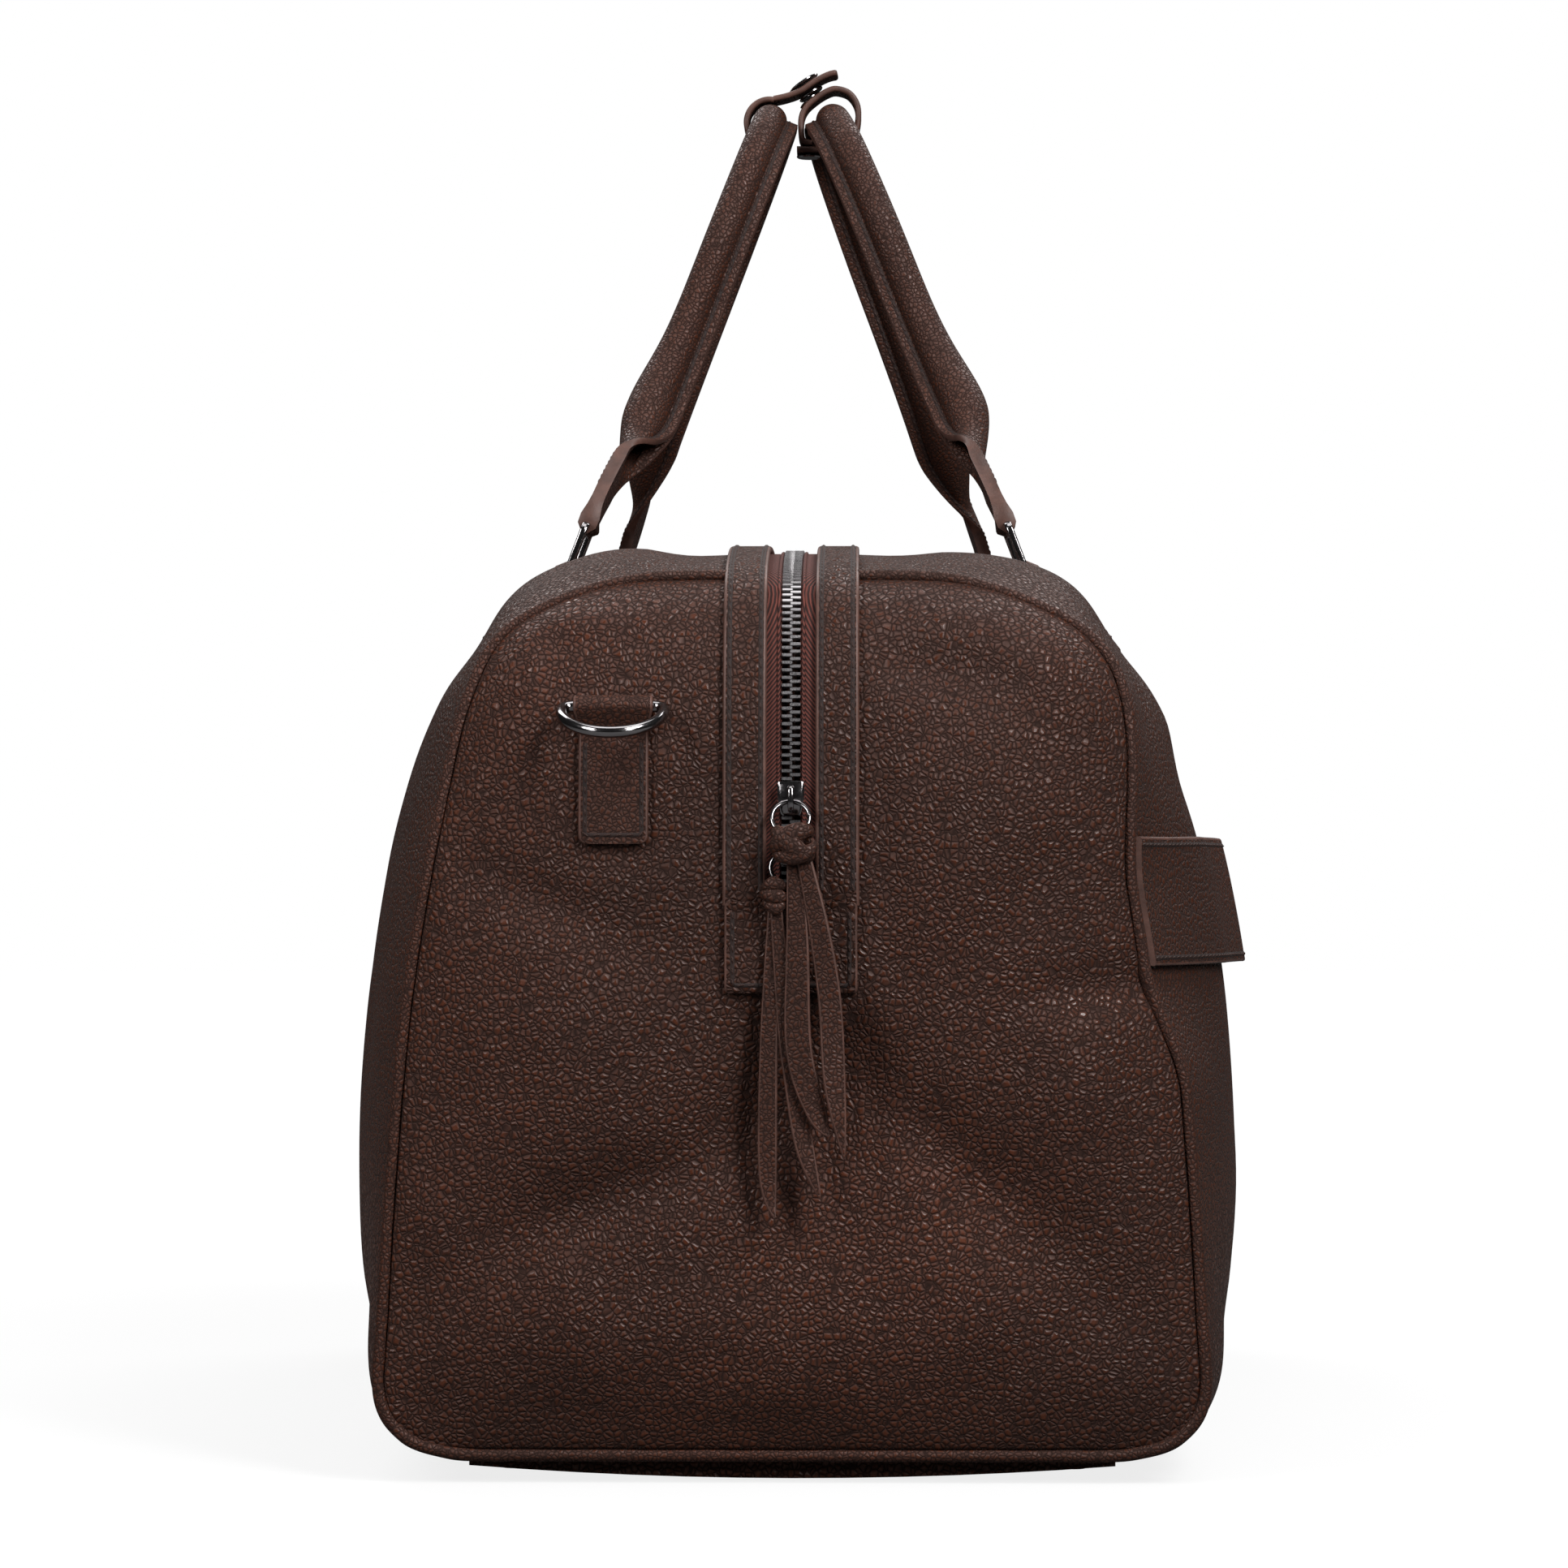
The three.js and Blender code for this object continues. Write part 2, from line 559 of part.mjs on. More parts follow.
// A handle ring: a rounded rectangle of bar, upright in the handle's plane.
function handleRing(sx) {
  const corner = 3;
  const halfW = RING.width / 2;
  const corners = [[1, 1, 0], [-1, 1, 90], [-1, -1, 180], [1, -1, 270]];
  const path = corners.flatMap(([a, b, start]) =>
    [0, 45, 90].map((turn) => {
      const angle = THREE.MathUtils.degToRad(start + turn);
      const x = a * (halfW - corner) + corner * Math.cos(angle);
      const h = RING.height / 2 + b * (RING.height / 2 - corner) + corner * Math.sin(angle);
      return vec(sx * RING_X + x, 0, h);
    }),
  );
  return ringBar(path, RING.bar / 2, 6, inward);
}

// A chape: leather sewn to the shoulder of the bag, with a fold that the ring's lower bar turns in.
function chape(sx) {
  const us = [RING_X - CHAPE.width / 2, RING_X + CHAPE.width / 2].map((x) => (sx * x) / SEAM_X);
  const vs = spread(pivotV, pivotV + 0.115, 5);
  const point = (u, v) => sidePoint(u, v, -1);
  const tail = sheet(
    surfaceGrid(point, us, vs, SKIN_GAP + 1.7, -1),
    surfaceGrid(point, us, vs, SKIN_GAP, -1),
  );
  const place = [sx * RING_X, -RING_PIVOT_Y, pivotZ];
  const wrap = rodAlongX(CHAPE.wrap, CHAPE.width, 12).translate(...place);
  const bore = rodAlongX(RING.bar / 2 + 0.35, 30, 10).translate(...place);
  return cut(join(wrap, tail), bore);
}

[["front", 0], ["back", Math.PI]].forEach(([name, turn]) => {
  const face = new THREE.Group();
  face.rotation.z = turn;
  bag.add(face);
  const handle = new THREE.Group();
  handle.position.set(0, -RING_PIVOT_Y, pivotZ);
  handle.rotation.x = -LEAN;
  face.add(handle);
  const grip = hollowLoft(gripSections(gripOutline), gripSections(aroundInward(CORE_R + 0.35)));
  add("handle_grip_" + name, grip, leather(), handle);
  const core = circle(CORE_R, 7);
  add("handle_core_" + name, loft(gripSections(core), core), material(CLOTH, 0.9), handle);
  [1, -1].forEach((sx) => {
    const end = sx * Math.cos(turn) > 0 ? "right" : "left";
    add(`handle_end_${name}_${end}`, handleEnd(sx), leather(), handle);
    add(`handle_ring_${name}_${end}`, handleRing(sx), metal(), handle);
    add(`chape_${name}_${end}`, chape(sx), leather(), face);
  });
});

// ---------- keeper: a strap on the front handle that snaps on a loop round the back handle ----------
const KEEPER = { half: 6.5, thickness: 2.2, gripY: -11.8, gripZ: 478, r: 8.5 };
// A strap of leather from its centre line in the Y-Z plane.
function strap(line, halfWidth) {
  const half = KEEPER.thickness / 2;
  const side = (sign) =>
    line.map(([y, z], i) => {
      const a = line[Math.max(i - 1, 0)];
      const b = line[Math.min(i + 1, line.length - 1)];
      const length = Math.hypot(b[0] - a[0], b[1] - a[1]);
      return [y - (sign * half * (b[1] - a[1])) / length, z + (sign * half * (b[0] - a[0])) / length];
    });
  const upper = side(1);
  const lower = side(-1);
  const layer = (points) => [-halfWidth, halfWidth].map((x) => points.map(([y, z]) => vec(x, y, z)));
  return sheet(layer(upper), layer(lower));
}

// A disc at (y, z) whose axis leans back from vertical by the slope of what it is set on.
function disc(r, thickness, y, z, slope) {
  const flat = rod(r, thickness, 16).rotateX(Math.PI / 2);
  return flat.rotateX(THREE.MathUtils.degToRad(slope)).translate(0, y, z);
}
const frontWrap = spread(84, 300, 12).map((degrees) => {
  const a = THREE.MathUtils.degToRad(degrees);
  return [KEEPER.gripY + KEEPER.r * Math.cos(a), KEEPER.gripZ + KEEPER.r * Math.sin(a)];
});
const keeperTail = [[-9, 487], [-5.3, 487.8], [-0.2, 489.7], [4.9, 493.1], [10, 495.7], [13.7, 496.6]];
const backLoop = [
  [0.3, 471.5], [0.2, 479.5], [2, 483.6], [5.8, 487], [10, 489.6], [13.4, 490.4], [18.1, 488.8],
  [21, 484.5], [21.4, 479], [19.8, 473], [15.5, 468.8], [9.5, 467.8], [4, 467.8],
];
add("keeper_front_wrap", strap(frontWrap, KEEPER.half), leather());
add("keeper_tail", strap(keeperTail, KEEPER.half), leather());
add("keeper_back_loop", strap(backLoop, KEEPER.half), leather());
add("snap_cap", disc(6.2, 1.2, 1, 493.5, 33.5), metal());
add("snap_socket", disc(5, 1.4, 3.7, 489.4, 33.5), metal());
add("snap_stud", disc(4.6, 1, 3.3, 487.1, 40), metal());
add("keeper_rivet", disc(4.6, 1.2, 3, 465.8, 0), metal());

export default bag;
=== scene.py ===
"""The looks of the weekender bag: leather, stitching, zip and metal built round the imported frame.

Shapes are worked out in millimetres, +Z up, in the row's own frame, and written in metres.
"""

from math import asin, copysign, cos, exp, hypot, pi, radians, sin, sqrt

import bmesh
import bpy
import numpy as np
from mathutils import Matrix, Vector, noise


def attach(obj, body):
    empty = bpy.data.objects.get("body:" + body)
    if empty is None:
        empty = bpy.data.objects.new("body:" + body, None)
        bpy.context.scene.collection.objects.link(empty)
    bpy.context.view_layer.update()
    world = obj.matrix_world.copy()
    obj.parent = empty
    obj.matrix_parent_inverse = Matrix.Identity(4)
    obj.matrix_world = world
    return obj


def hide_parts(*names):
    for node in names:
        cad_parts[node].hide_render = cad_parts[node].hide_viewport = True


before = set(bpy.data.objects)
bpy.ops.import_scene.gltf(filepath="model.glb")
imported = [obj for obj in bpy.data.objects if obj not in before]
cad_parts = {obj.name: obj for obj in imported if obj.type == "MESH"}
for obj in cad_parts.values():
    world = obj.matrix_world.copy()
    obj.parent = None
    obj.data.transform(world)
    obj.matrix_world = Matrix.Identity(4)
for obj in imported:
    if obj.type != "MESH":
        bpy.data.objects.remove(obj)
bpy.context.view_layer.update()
MM = 0.001

# ---------- sizes shared with the frame ----------
SEAM_X, SEAM_LEAN, SEAM_LEAN_FROM_Z = 245.0, 15.0, 185.0
END_BULGE_X, SIDE_FULLNESS = 257.0, 5
BOTTOM_Z, TOP_Z = 10.0, 291.0
SKIN_GAP = 0.6
TRIM_END_Z = 186.6
RING_X, RING_PIVOT_Y, LEAN = 109.0, 79.5, radians(21)
HANDLE_TWIST = 0.045
END_OUTLINE = [
    (13, 292), (50, 291), (77, 283), (95, 271), (105, 250), (111, 225), (118, 189),
    (124, 149), (128, 103), (131, 55), (132, 28), (124, 15), (110, 10), (95, 9),
]
MID_OUTLINE = [
    (13, 307), (50, 304.5), (79, 297.5), (99, 286), (115, 267), (125, 240), (137, 200),
    (147, 153), (151, 105), (150, 58), (146, 28), (136, 13), (118, 9), (95, 8.5),
]


# Where the stuffed leather rises or sinks: height, place across and up, half width and height, turn in degrees.
END_HILLS = [
    (-5.5, 2, 118, 30, 34), (-5.0, 52, 104, 62, 15, -42), (5.5, 62, 206, 30, 52, -8), (4.5, -70, 138, 30, 44, 10),
    (4.5, 92, 128, 18, 30), (4.0, -20, 46, 70, 24), (-4.0, -58, 92, 52, 12, 24), (-2.4, -74, 184, 34, 9, -24),
    (-3.4, 96, 158, 26, 8, 4), (-2.4, 34, 262, 44, 8, -8), (2.6, 78, 262, 30, 12, -30), (2.4, -74, 258, 30, 14, 32),
]
SIDE_HILLS = [
    (-4.5, 60, 190, 90, 22, 8), (3.5, -110, 160, 70, 34), (3.5, 150, 120, 55, 34), (-4.0, -40, 112, 120, 13, -7),
    (-3.0, -150, 226, 70, 14, 12), (-2.4, 170, 216, 60, 12, -14),
]
DRING_Y, DRING_Z, DRING_BAR = -56.6, 248.4, 1.9
X_AXIS = np.array([1.0, 0, 0])
Y_AXIS = np.array([0.0, 1.0, 0.0])


# ---------- curves and surfaces ----------
def smoothstep(low, high, x):
    t = np.clip((np.asarray(x, float) - low) / (high - low), 0, 1)
    return t * t * (3 - 2 * t)


def spline(points, t):
    """A smooth curve through the points, at t from 0 to 1."""
    p = np.array(points, float)
    n = len(p)
    s = np.clip(np.atleast_1d(np.asarray(t, float)), 0, 1) * (n - 1)
    i = np.minimum(s.astype(int), n - 2)
    w = (s - i)[:, None]
    a, b, c, d = p[np.maximum(i - 1, 0)], p[i], p[i + 1], p[np.minimum(i + 2, n - 1)]
    v0, v1 = (c - a) / 2, (d - b) / 2
    return (2 * b - 2 * c + v0 + v1) * w**3 + (-3 * b + 3 * c - 2 * v0 - v1) * w**2 + v0 * w + b


def between(at, stations, rows):
    """Rows of numbers read at places between their stations."""
    return np.stack([np.interp(at, stations, column) for column in np.asarray(rows, float).T], -1)


def turns(count):
    """Angles evenly round a circle."""
    return np.linspace(0, 2 * np.pi, count, endpoint=False)


def resample(path, step):
    """Points a step apart along a path, and the path's direction at each."""
    path = np.asarray(path, float)
    lengths = np.linalg.norm(np.diff(path[:, :3], axis=0), axis=1)
    at = np.concatenate([[0], np.cumsum(lengths)])
    count = max(int(at[-1] / step), 1)
    s = (np.arange(count) + 0.5) * at[-1] / count
    ahead = between(s + step / 4, at, path[:, :3]) - between(s - step / 4, at, path[:, :3])
    return between(s, at, path), unit(ahead)


def unit(v):
    v = np.asarray(v, float)
    return v / np.maximum(np.linalg.norm(v, axis=-1, keepdims=True), 1e-9)


def seam_x(z):
    """How far out the end seams stand: they lean in towards the top."""
    return SEAM_X - SEAM_LEAN * np.maximum(0, (z - SEAM_LEAN_FROM_Z) / (TOP_Z - SEAM_LEAN_FROM_Z)) ** 2


def seam_pull(z):
    """How far the luggage band, sewn into the back seams, draws them in."""
    return 8.8 * smoothstep(124, 166, z) * smoothstep(240, 188, z) - 3.4 * np.exp(-(((np.asarray(z) - 259) / 18) ** 2))


V_TABLE = np.linspace(0, 1, 900)
END_TABLE = spline(END_OUTLINE, V_TABLE)
MID_TABLE = spline(MID_OUTLINE, V_TABLE)


def half_width(z):
    """Half the width of an end panel at a height."""
    return np.interp(z, END_TABLE[::-1, 1], END_TABLE[::-1, 0])


def bump(y, z, y0, z0, wide, high, turn=0.0):
    """A soft hill of height 1 at (y0, z0)."""
    c, s = cos(radians(turn)), sin(radians(turn))
    a = ((y - y0) * c + (z - z0) * s) / wide
    b = (-(y - y0) * s + (z - z0) * c) / high
    return np.exp(-(a * a + b * b))


def hills(y, z, table):
    """Hills and hollows together: each row of the table is a height and what bump() takes."""
    return sum(height * bump(y, z, *where) for height, *where in table)


def cloudy(y, z, scale, seed):
    """Smooth noise from -1 to 1, the same each run."""
    flat = [noise.noise(Vector((a / scale, b / scale, seed))) for a, b in zip(np.ravel(y), np.ravel(z))]
    return np.array(flat).reshape(np.shape(y))


def end_dents(y, z, end):
    """How the stuffed leather of an end panel rises and sinks, clear of what is sewn on it."""
    y = y * end
    d = hills(y, z, END_HILLS) + 1.8 * cloudy(y, z, 50, 3.1 * end) + 0.8 * cloudy(y, z, 21, 8.7 * end)
    zip_zone = smoothstep(36, 22, np.abs(y)) * smoothstep(142, 160, z)
    tab_zone = smoothstep(28, 17, np.abs(y - DRING_Y)) * smoothstep(192, 202, z) * smoothstep(279, 268, z)
    edge = smoothstep(1.0, 0.9, np.abs(y) / half_width(z)) * smoothstep(10, 30, z) * smoothstep(291, 276, z)
    return d * (1 - np.maximum(zip_zone, tab_zone)) * edge


def end_x(y, z, end=1):
    """How far out an end panel stands at (y, z)."""
    t = np.clip(np.abs(y) / (half_width(z) - seam_pull(z) * (np.asarray(y) > 0)), 0, 1)
    s = np.clip((z - (TOP_Z + BOTTOM_Z) / 2) / ((TOP_Z - BOTTOM_Z) / 2), -1, 1)
    full = np.maximum(0, (1 - t**4) * (1 - s**4)) ** 0.625
    return seam_x(z) + (END_BULGE_X - seam_x(z)) * full + end_dents(y, z, end)


def side_dents(x, v, side):
    """The same for the front and the back, with the parts that stand fuller than the frame."""
    low = v * 300
    d = hills(x, low, SIDE_HILLS) + 2.0 * cloudy(x, low, 60, 5.3 * side) + 0.7 * cloudy(x, low, 22, 2.9 * side)
    sewn = smoothstep(26, 14, np.abs(np.abs(x) - RING_X)) * smoothstep(0.45, 0.36, v)
    band = smoothstep(0.36, 0.42, v) * smoothstep(0.66, 0.6, v) * (side > 0)
    edge = smoothstep(245, 205, np.abs(x)) * smoothstep(0.02, 0.14, v) * smoothstep(1.0, 0.86, v)
    puff = 5.0 * bump(np.abs(x), low, 172, 50, 40, 26) + (7.0 if side < 0 else 2.5) * bump(x, low, 0, 28, 170, 14)
    puff = puff * smoothstep(0.035, 0.08, v) * smoothstep(238, 200, np.abs(x))
    fuller = -2.4 * bump(x, low, 0, 86, 300, 16) - 3.2 * smoothstep(205, 240, low) * smoothstep(292, 275, low)
    fuller = fuller + 3.2 * (side > 0) * bump(x, low, 0, 136, 400, 28)
    fuller = fuller * smoothstep(240, 180, np.abs(x)) * smoothstep(0.45, 0.55, v + (np.abs(np.abs(x) - RING_X) > 26))
    return (d * edge + puff) * (1 - np.maximum(sewn, 0.8 * band)) + fuller


def side_point(u, v, side, raised=0.0, dents=True):
    """A point of the front (side -1) or back (+1): u runs along the bag, v down the outline."""
    u, v = np.broadcast_arrays(np.asarray(u, float), np.asarray(v, float))
    end, mid = between(v, V_TABLE, END_TABLE), between(v, V_TABLE, MID_TABLE)
    full = (1 - np.abs(u) ** SIDE_FULLNESS)[..., None]
    p = end + (mid - end) * full
    e = 2e-3
    ahead = [np.interp(np.clip(v + s, 0, 1), V_TABLE, MID_TABLE[:, k]) for s in (-e, e) for k in (0, 1)]
    normal = unit(np.stack([ahead[1] - ahead[3], ahead[2] - ahead[0]], -1))
    x = u * seam_x(end[..., 1])
    lift = raised + (side_dents(x, v, side) if dents else 0)
    drawn_in = seam_pull(p[..., 1]) * smoothstep(0.72, 1.0, np.abs(u)) * (side > 0)
    y = (p[..., 0] + normal[..., 0] * lift - drawn_in) * side
    return np.stack([x, y, p[..., 1] + normal[..., 1] * lift], -1)


def v_at(u, z):
    """Where on the outline a side has the height z."""
    full = 1 - abs(u) ** SIDE_FULLNESS
    heights = END_TABLE[:, 1] + (MID_TABLE[:, 1] - END_TABLE[:, 1]) * full
    return np.interp(z, heights[::-1], V_TABLE[::-1])


# ---------- mesh tools ----------
def build(name, points, faces, looks, body, replaces=(), slot=None, indices=None, sharp=38):
    """A mesh from points in millimetres, which rides on a CAD body and stands for CAD nodes."""
    mesh = bpy.data.meshes.new(name)
    mesh.from_pydata((np.asarray(points, float) * MM).tolist(), [], faces)
    if indices is not None:
        mesh.polygons.foreach_set("material_index", np.asarray(indices, np.int32))
    made = bmesh.new()
    made.from_mesh(mesh)
    bmesh.ops.recalc_face_normals(made, faces=made.faces)
    made.to_mesh(mesh)
    made.free()
    for look in looks:
        mesh.materials.append(look)
    mesh.polygons.foreach_set("use_smooth", np.ones(len(mesh.polygons), bool))
    mesh.set_sharp_from_angle(angle=radians(sharp))
    piece = bpy.data.objects.new(name, mesh)
    bpy.context.scene.collection.objects.link(piece)
    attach(piece, body)
    if replaces:
        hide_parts(*replaces)
    return piece


def grid_faces(rows, columns, round_rows=False, round_columns=False):
    """Four-sided faces over a grid of points, which may close on itself."""
    faces = []
    for i in range(rows if round_rows else rows - 1):
        for j in range(columns if round_columns else columns - 1):
            a, b = i * columns + j, i * columns + (j + 1) % columns
            c, d = ((i + 1) % rows) * columns + (j + 1) % columns, ((i + 1) % rows) * columns + j
            faces.append((a, b, c, d))
    return faces


def loft(name, rings, looks, body, closed=False, side_look=None, cap_look=0, **kw):
    """A solid through closed sections. side_look gives each segment of the section its material."""
    rings = np.asarray(rings, float)
    n, m = rings.shape[:2]
    faces = grid_faces(n, m, round_rows=closed, round_columns=True)
    indices = [0 if side_look is None else side_look[k % m] for k in range(len(faces))]
    if not closed:
        faces += [tuple(range(m)), tuple((n - 1) * m + j for j in range(m))]
        indices += [cap_look, cap_look]
    return build(name, rings.reshape(-1, 3), faces, looks, body, indices=indices, **kw)


def band_section(half, low, high, radius=0.7, across=8):
    """A strap's section as (sideways, height) points with rounded edges, and the look of each segment."""
    r = min(radius, (high - low) * 0.48, half * 0.6)
    flat = np.linspace(-half + r, half - r, across)
    turn = np.radians(np.linspace(90, -90, 7)[1:-1])
    right = [(half - r + r * cos(a), (high - r if a > 0 else low + r) + r * sin(a)) for a in turn]
    left = [(-x, low + high - h) for x, h in right]
    points = [(x, high) for x in flat] + right + [(x, low) for x in flat[::-1]] + left
    looks = [0] * (across - 1) + [1] * 6 + [0] * (across - 1) + [1] * 6
    return np.array(points), looks


def strap(name, place, halves, low, high, body, look=None, edge=None, across=8, radius=0.7, **kw):
    """A strap: place(station, sideways, height) puts its section's points in space."""
    low, high = np.broadcast_to(low, len(halves)), np.broadcast_to(high, len(halves))
    rings, looks = [], None
    for i, half in enumerate(halves):
        section, looks = band_section(half, low[i], high[i], radius, across)
        rings.append(place(i, section[:, 0], section[:, 1]))
    pair = [look or LEATHER, edge or EDGE]
    kw.setdefault("slot", "leather")
    return loft(name, rings, pair, body, side_look=looks, cap_look=1, **kw)


def frame_along(path, across):
    """Two directions at each point of a path, square to it: nearly `across`, and square to that."""
    path = np.asarray(path, float)
    along = unit(np.gradient(path, axis=0))
    across = unit(across - along * np.sum(along * across, -1, keepdims=True))
    return across, np.cross(along, across)


def tube(name, path, radius, look, body, normal, sides=14, closed=True, section=None, **kw):
    """Round bar along a path that lies in a plane with the given normal."""
    path = np.asarray(path, float)
    n = len(path)
    ahead = np.roll(path, -1, 0) - np.roll(path, 1, 0) if closed else np.gradient(path, axis=0)
    along = unit(ahead)
    normal = np.broadcast_to(unit(np.array(normal, float)), path.shape)
    across = unit(np.cross(along, normal))
    if section is None:
        section = np.stack([np.cos(turns(sides)), np.sin(turns(sides))], 1)
    radius = np.broadcast_to(radius, n)
    rings = [p + radius[i] * (section[:, :1] * normal[i] + section[:, 1:] * across[i]) for i, p in enumerate(path)]
    return loft(name, rings, [look], body, closed=closed, **kw)


def repeat(name, template, faces, places, along, up, look, body, **kw):
    """Copies of a small shape, (along, sideways, up) points, set at each place, as one mesh."""
    side = np.cross(up, along)
    t = np.asarray(template, float)
    points = (
        places[:, None, :]
        + t[None, :, :1] * along[:, None, :]
        + t[None, :, 1:2] * side[:, None, :]
        + t[None, :, 2:] * up[:, None, :]
    )
    count = len(t)
    many = [tuple(k * count + i for i in f) for k in range(len(places)) for f in faces]
    return build(name, points.reshape(-1, 3), many, [look], body, **kw)


def stitches(name, path, up, body, pitch=3.4, length=2.6, radius=0.4, lean=9):
    """A row of thread stitches along a path; `up` is the leather's normal at each of its points."""
    both = np.concatenate([np.asarray(path, float), np.broadcast_to(up, np.shape(path))], 1)
    line, ahead = resample(both, 1.6)
    over = unit(line[:, 3:])
    across = unit(np.cross(over, ahead))
    section = ((0.8, -0.2), (0.6, 0.07), (-0.6, 0.07), (-0.8, -0.2))
    rings = [[p + a * across[i] + b * over[i] for a, b in section] for i, p in enumerate(line[:, :3])]
    # Painted shade: a dark strip laid under each row of stitches stands for the shade in the stitch groove.
    loft(name + "_painted_shade", rings, [STITCH_SHADE], body, slot="leather", sharp=80)
    places, along = resample(both, pitch)
    up = unit(places[:, 3:])
    side = unit(np.cross(up, along))
    turn = radians(lean)
    slanted = unit(along * cos(turn) + side * sin(turn))
    template = []
    for x, r in ((-0.5, 0.35), (-0.32, 0.9), (0, 1.0), (0.32, 0.9), (0.5, 0.35)):
        for k in range(6):
            a = pi * k / 3
            template.append((x * length, r * radius * cos(a), r * radius * sin(a) - abs(x) * 0.5 * radius))
    faces = grid_faces(5, 6, round_columns=True) + [tuple(range(6)), tuple(range(24, 30))]
    return repeat(name, template, faces, places[:, :3], slanted, up, THREAD, body, slot="leather", sharp=80)


def lathe(profile, sides=40):
    """Points and faces of a turned shape: profile is (radius, height) pairs; it opens nowhere."""
    angles = turns(sides)
    points = [(r * cos(a), r * sin(a), h) for r, h in profile for a in angles]
    faces = grid_faces(len(profile), sides, round_columns=True)
    last = (len(profile) - 1) * sides
    faces += [tuple(range(sides)), tuple(range(last, last + sides))]
    return np.array(points), faces


# ---------- materials ----------
def material(name, color, roughness, metallic=0.0, specular=0.5):
    made = bpy.data.materials.new(name)
    made.use_nodes = True
    shader = made.node_tree.nodes["Principled BSDF"]
    shader.inputs["Base Color"].default_value = (*color, 1)
    shader.inputs["Roughness"].default_value = roughness
    shader.inputs["Metallic"].default_value = metallic
    shader.inputs["Specular IOR Level"].default_value = specular
    return made, made.node_tree, shader


def node(tree, kind, **inputs):
    made = tree.nodes.new("ShaderNode" + kind)
    for key, value in inputs.items():
        if hasattr(made, key) and key not in made.inputs:
            setattr(made, key, value)
        else:
            made.inputs[key.replace("_", " ")].default_value = value
    return made


def rgba(color):
    """A colour for a socket, from a triple or a grey."""
    return (*color, 1) if isinstance(color, tuple) else (color, color, color, 1)


def shade(color, share):
    return tuple(min(c * share, 1) for c in color)


def ramp(tree, source, stops):
    made = node(tree, "ValToRGB")
    elements = made.color_ramp.elements
    elements[0].position, elements[0].color = stops[0][0], rgba(stops[0][1])
    elements[1].position, elements[1].color = stops[-1][0], rgba(stops[-1][1])
    for place, color in stops[1:-1]:
        elements.new(place).color = rgba(color)
    tree.links.new(source, made.inputs["Fac"])
    return made.outputs["Color"]


def mixed(tree, factor, a, b, how="MIX"):
    made = node(tree, "Mix")
    made.data_type = "RGBA"
    made.blend_type = how
    if isinstance(factor, float):
        made.inputs[0].default_value = factor
    else:
        tree.links.new(factor, made.inputs[0])
    for k, value in ((6, a), (7, b)):
        if isinstance(value, (tuple, float)):
            made.inputs[k].default_value = rgba(value)
        else:
            tree.links.new(value, made.inputs[k])
    return made.outputs[2]


def math_node(tree, how, a, b=0.0):
    made = node(tree, "Math")
    made.operation = how
    for k, value in ((0, a), (1, b)):
        if isinstance(value, (int, float)):
            made.inputs[k].default_value = value
        else:
            tree.links.new(value, made.inputs[k])
    return made.outputs[0]


def coordinates(tree, scale=(1, 1, 1)):
    where = node(tree, "TexCoord")
    mapping = node(tree, "Mapping")
    mapping.inputs["Scale"].default_value = scale
    tree.links.new(where.outputs["Object"], mapping.inputs["Vector"])
    return mapping.outputs["Vector"]


def noise_node(tree, where, scale, detail=3.0, roughness=0.5):
    made = node(tree, "TexNoise", Scale=scale, Detail=detail, Roughness=roughness)
    tree.links.new(where, made.inputs["Vector"])
    return made.outputs["Fac"]


def relief(tree, shader, heights):
    """Bumps on a shader: heights is a list of (height socket, strength, depth in metres)."""
    last = None
    for height, strength, depth in heights:
        made = node(tree, "Bump", Strength=strength, Distance=depth)
        tree.links.new(height, made.inputs["Height"])
        if last is not None:
            tree.links.new(last, made.inputs["Normal"])
        last = made.outputs["Normal"]
    tree.links.new(last, shader.inputs["Normal"])


def leather_look(name, dark, mid, light, pebble=500.0, depth=0.0007, rough=(0.22, 0.33)):
    """Pebble-grained leather: soft cells of about 2 mm, with painted shade darkening their creases, and slow changes of
    tone.
    """
    made, tree, shader = material(name, mid, 0.4, specular=0.25)
    where = coordinates(tree)
    wobble = node(tree, "TexNoise", Scale=210.0, Detail=1.0)
    tree.links.new(where, wobble.inputs["Vector"])
    push = node(tree, "VectorMath")
    push.operation = "MULTIPLY_ADD"
    push.inputs[1].default_value = (0.0016, 0.0016, 0.0016)
    tree.links.new(wobble.outputs["Color"], push.inputs[0])
    tree.links.new(where, push.inputs[2])
    cells = node(tree, "TexVoronoi", feature="F1", Scale=pebble)
    creases = node(tree, "TexVoronoi", feature="DISTANCE_TO_EDGE", Scale=pebble)
    for voronoi in (cells, creases):
        tree.links.new(push.outputs[0], voronoi.inputs["Vector"])
    groove = ramp(tree, creases.outputs["Distance"], [(0.0, 0), (0.12, 0.45), (0.34, 1)])
    fine = noise_node(tree, where, 2600.0, 2.0)
    slow = noise_node(tree, where, 7.0, 3.0, 0.55)
    tone = ramp(tree, slow, [(0.3, dark), (0.5, mid), (0.72, light)])
    own = ramp(tree, cells.outputs["Color"], [(0.1, 0.92), (0.9, 1.08)])
    # Painted shade: the creases between the pebbles are darkened to 0.3 of the dark tone.
    color = mixed(tree, groove, shade(dark, 0.3), mixed(tree, 1.0, tone, own, "MULTIPLY"))
    tree.links.new(color, shader.inputs["Base Color"])
    gloss = ramp(tree, noise_node(tree, where, 30.0, 4.0), [(0.3, rough[0]), (0.7, rough[1])])
    matt = mixed(tree, groove, 0.95, gloss)
    tree.links.new(matt, shader.inputs["Roughness"])
    relief(tree, shader, [(slow, 0.1, 0.004), (groove, 0.7, depth), (fine, 0.1, 0.0002)])
    return made


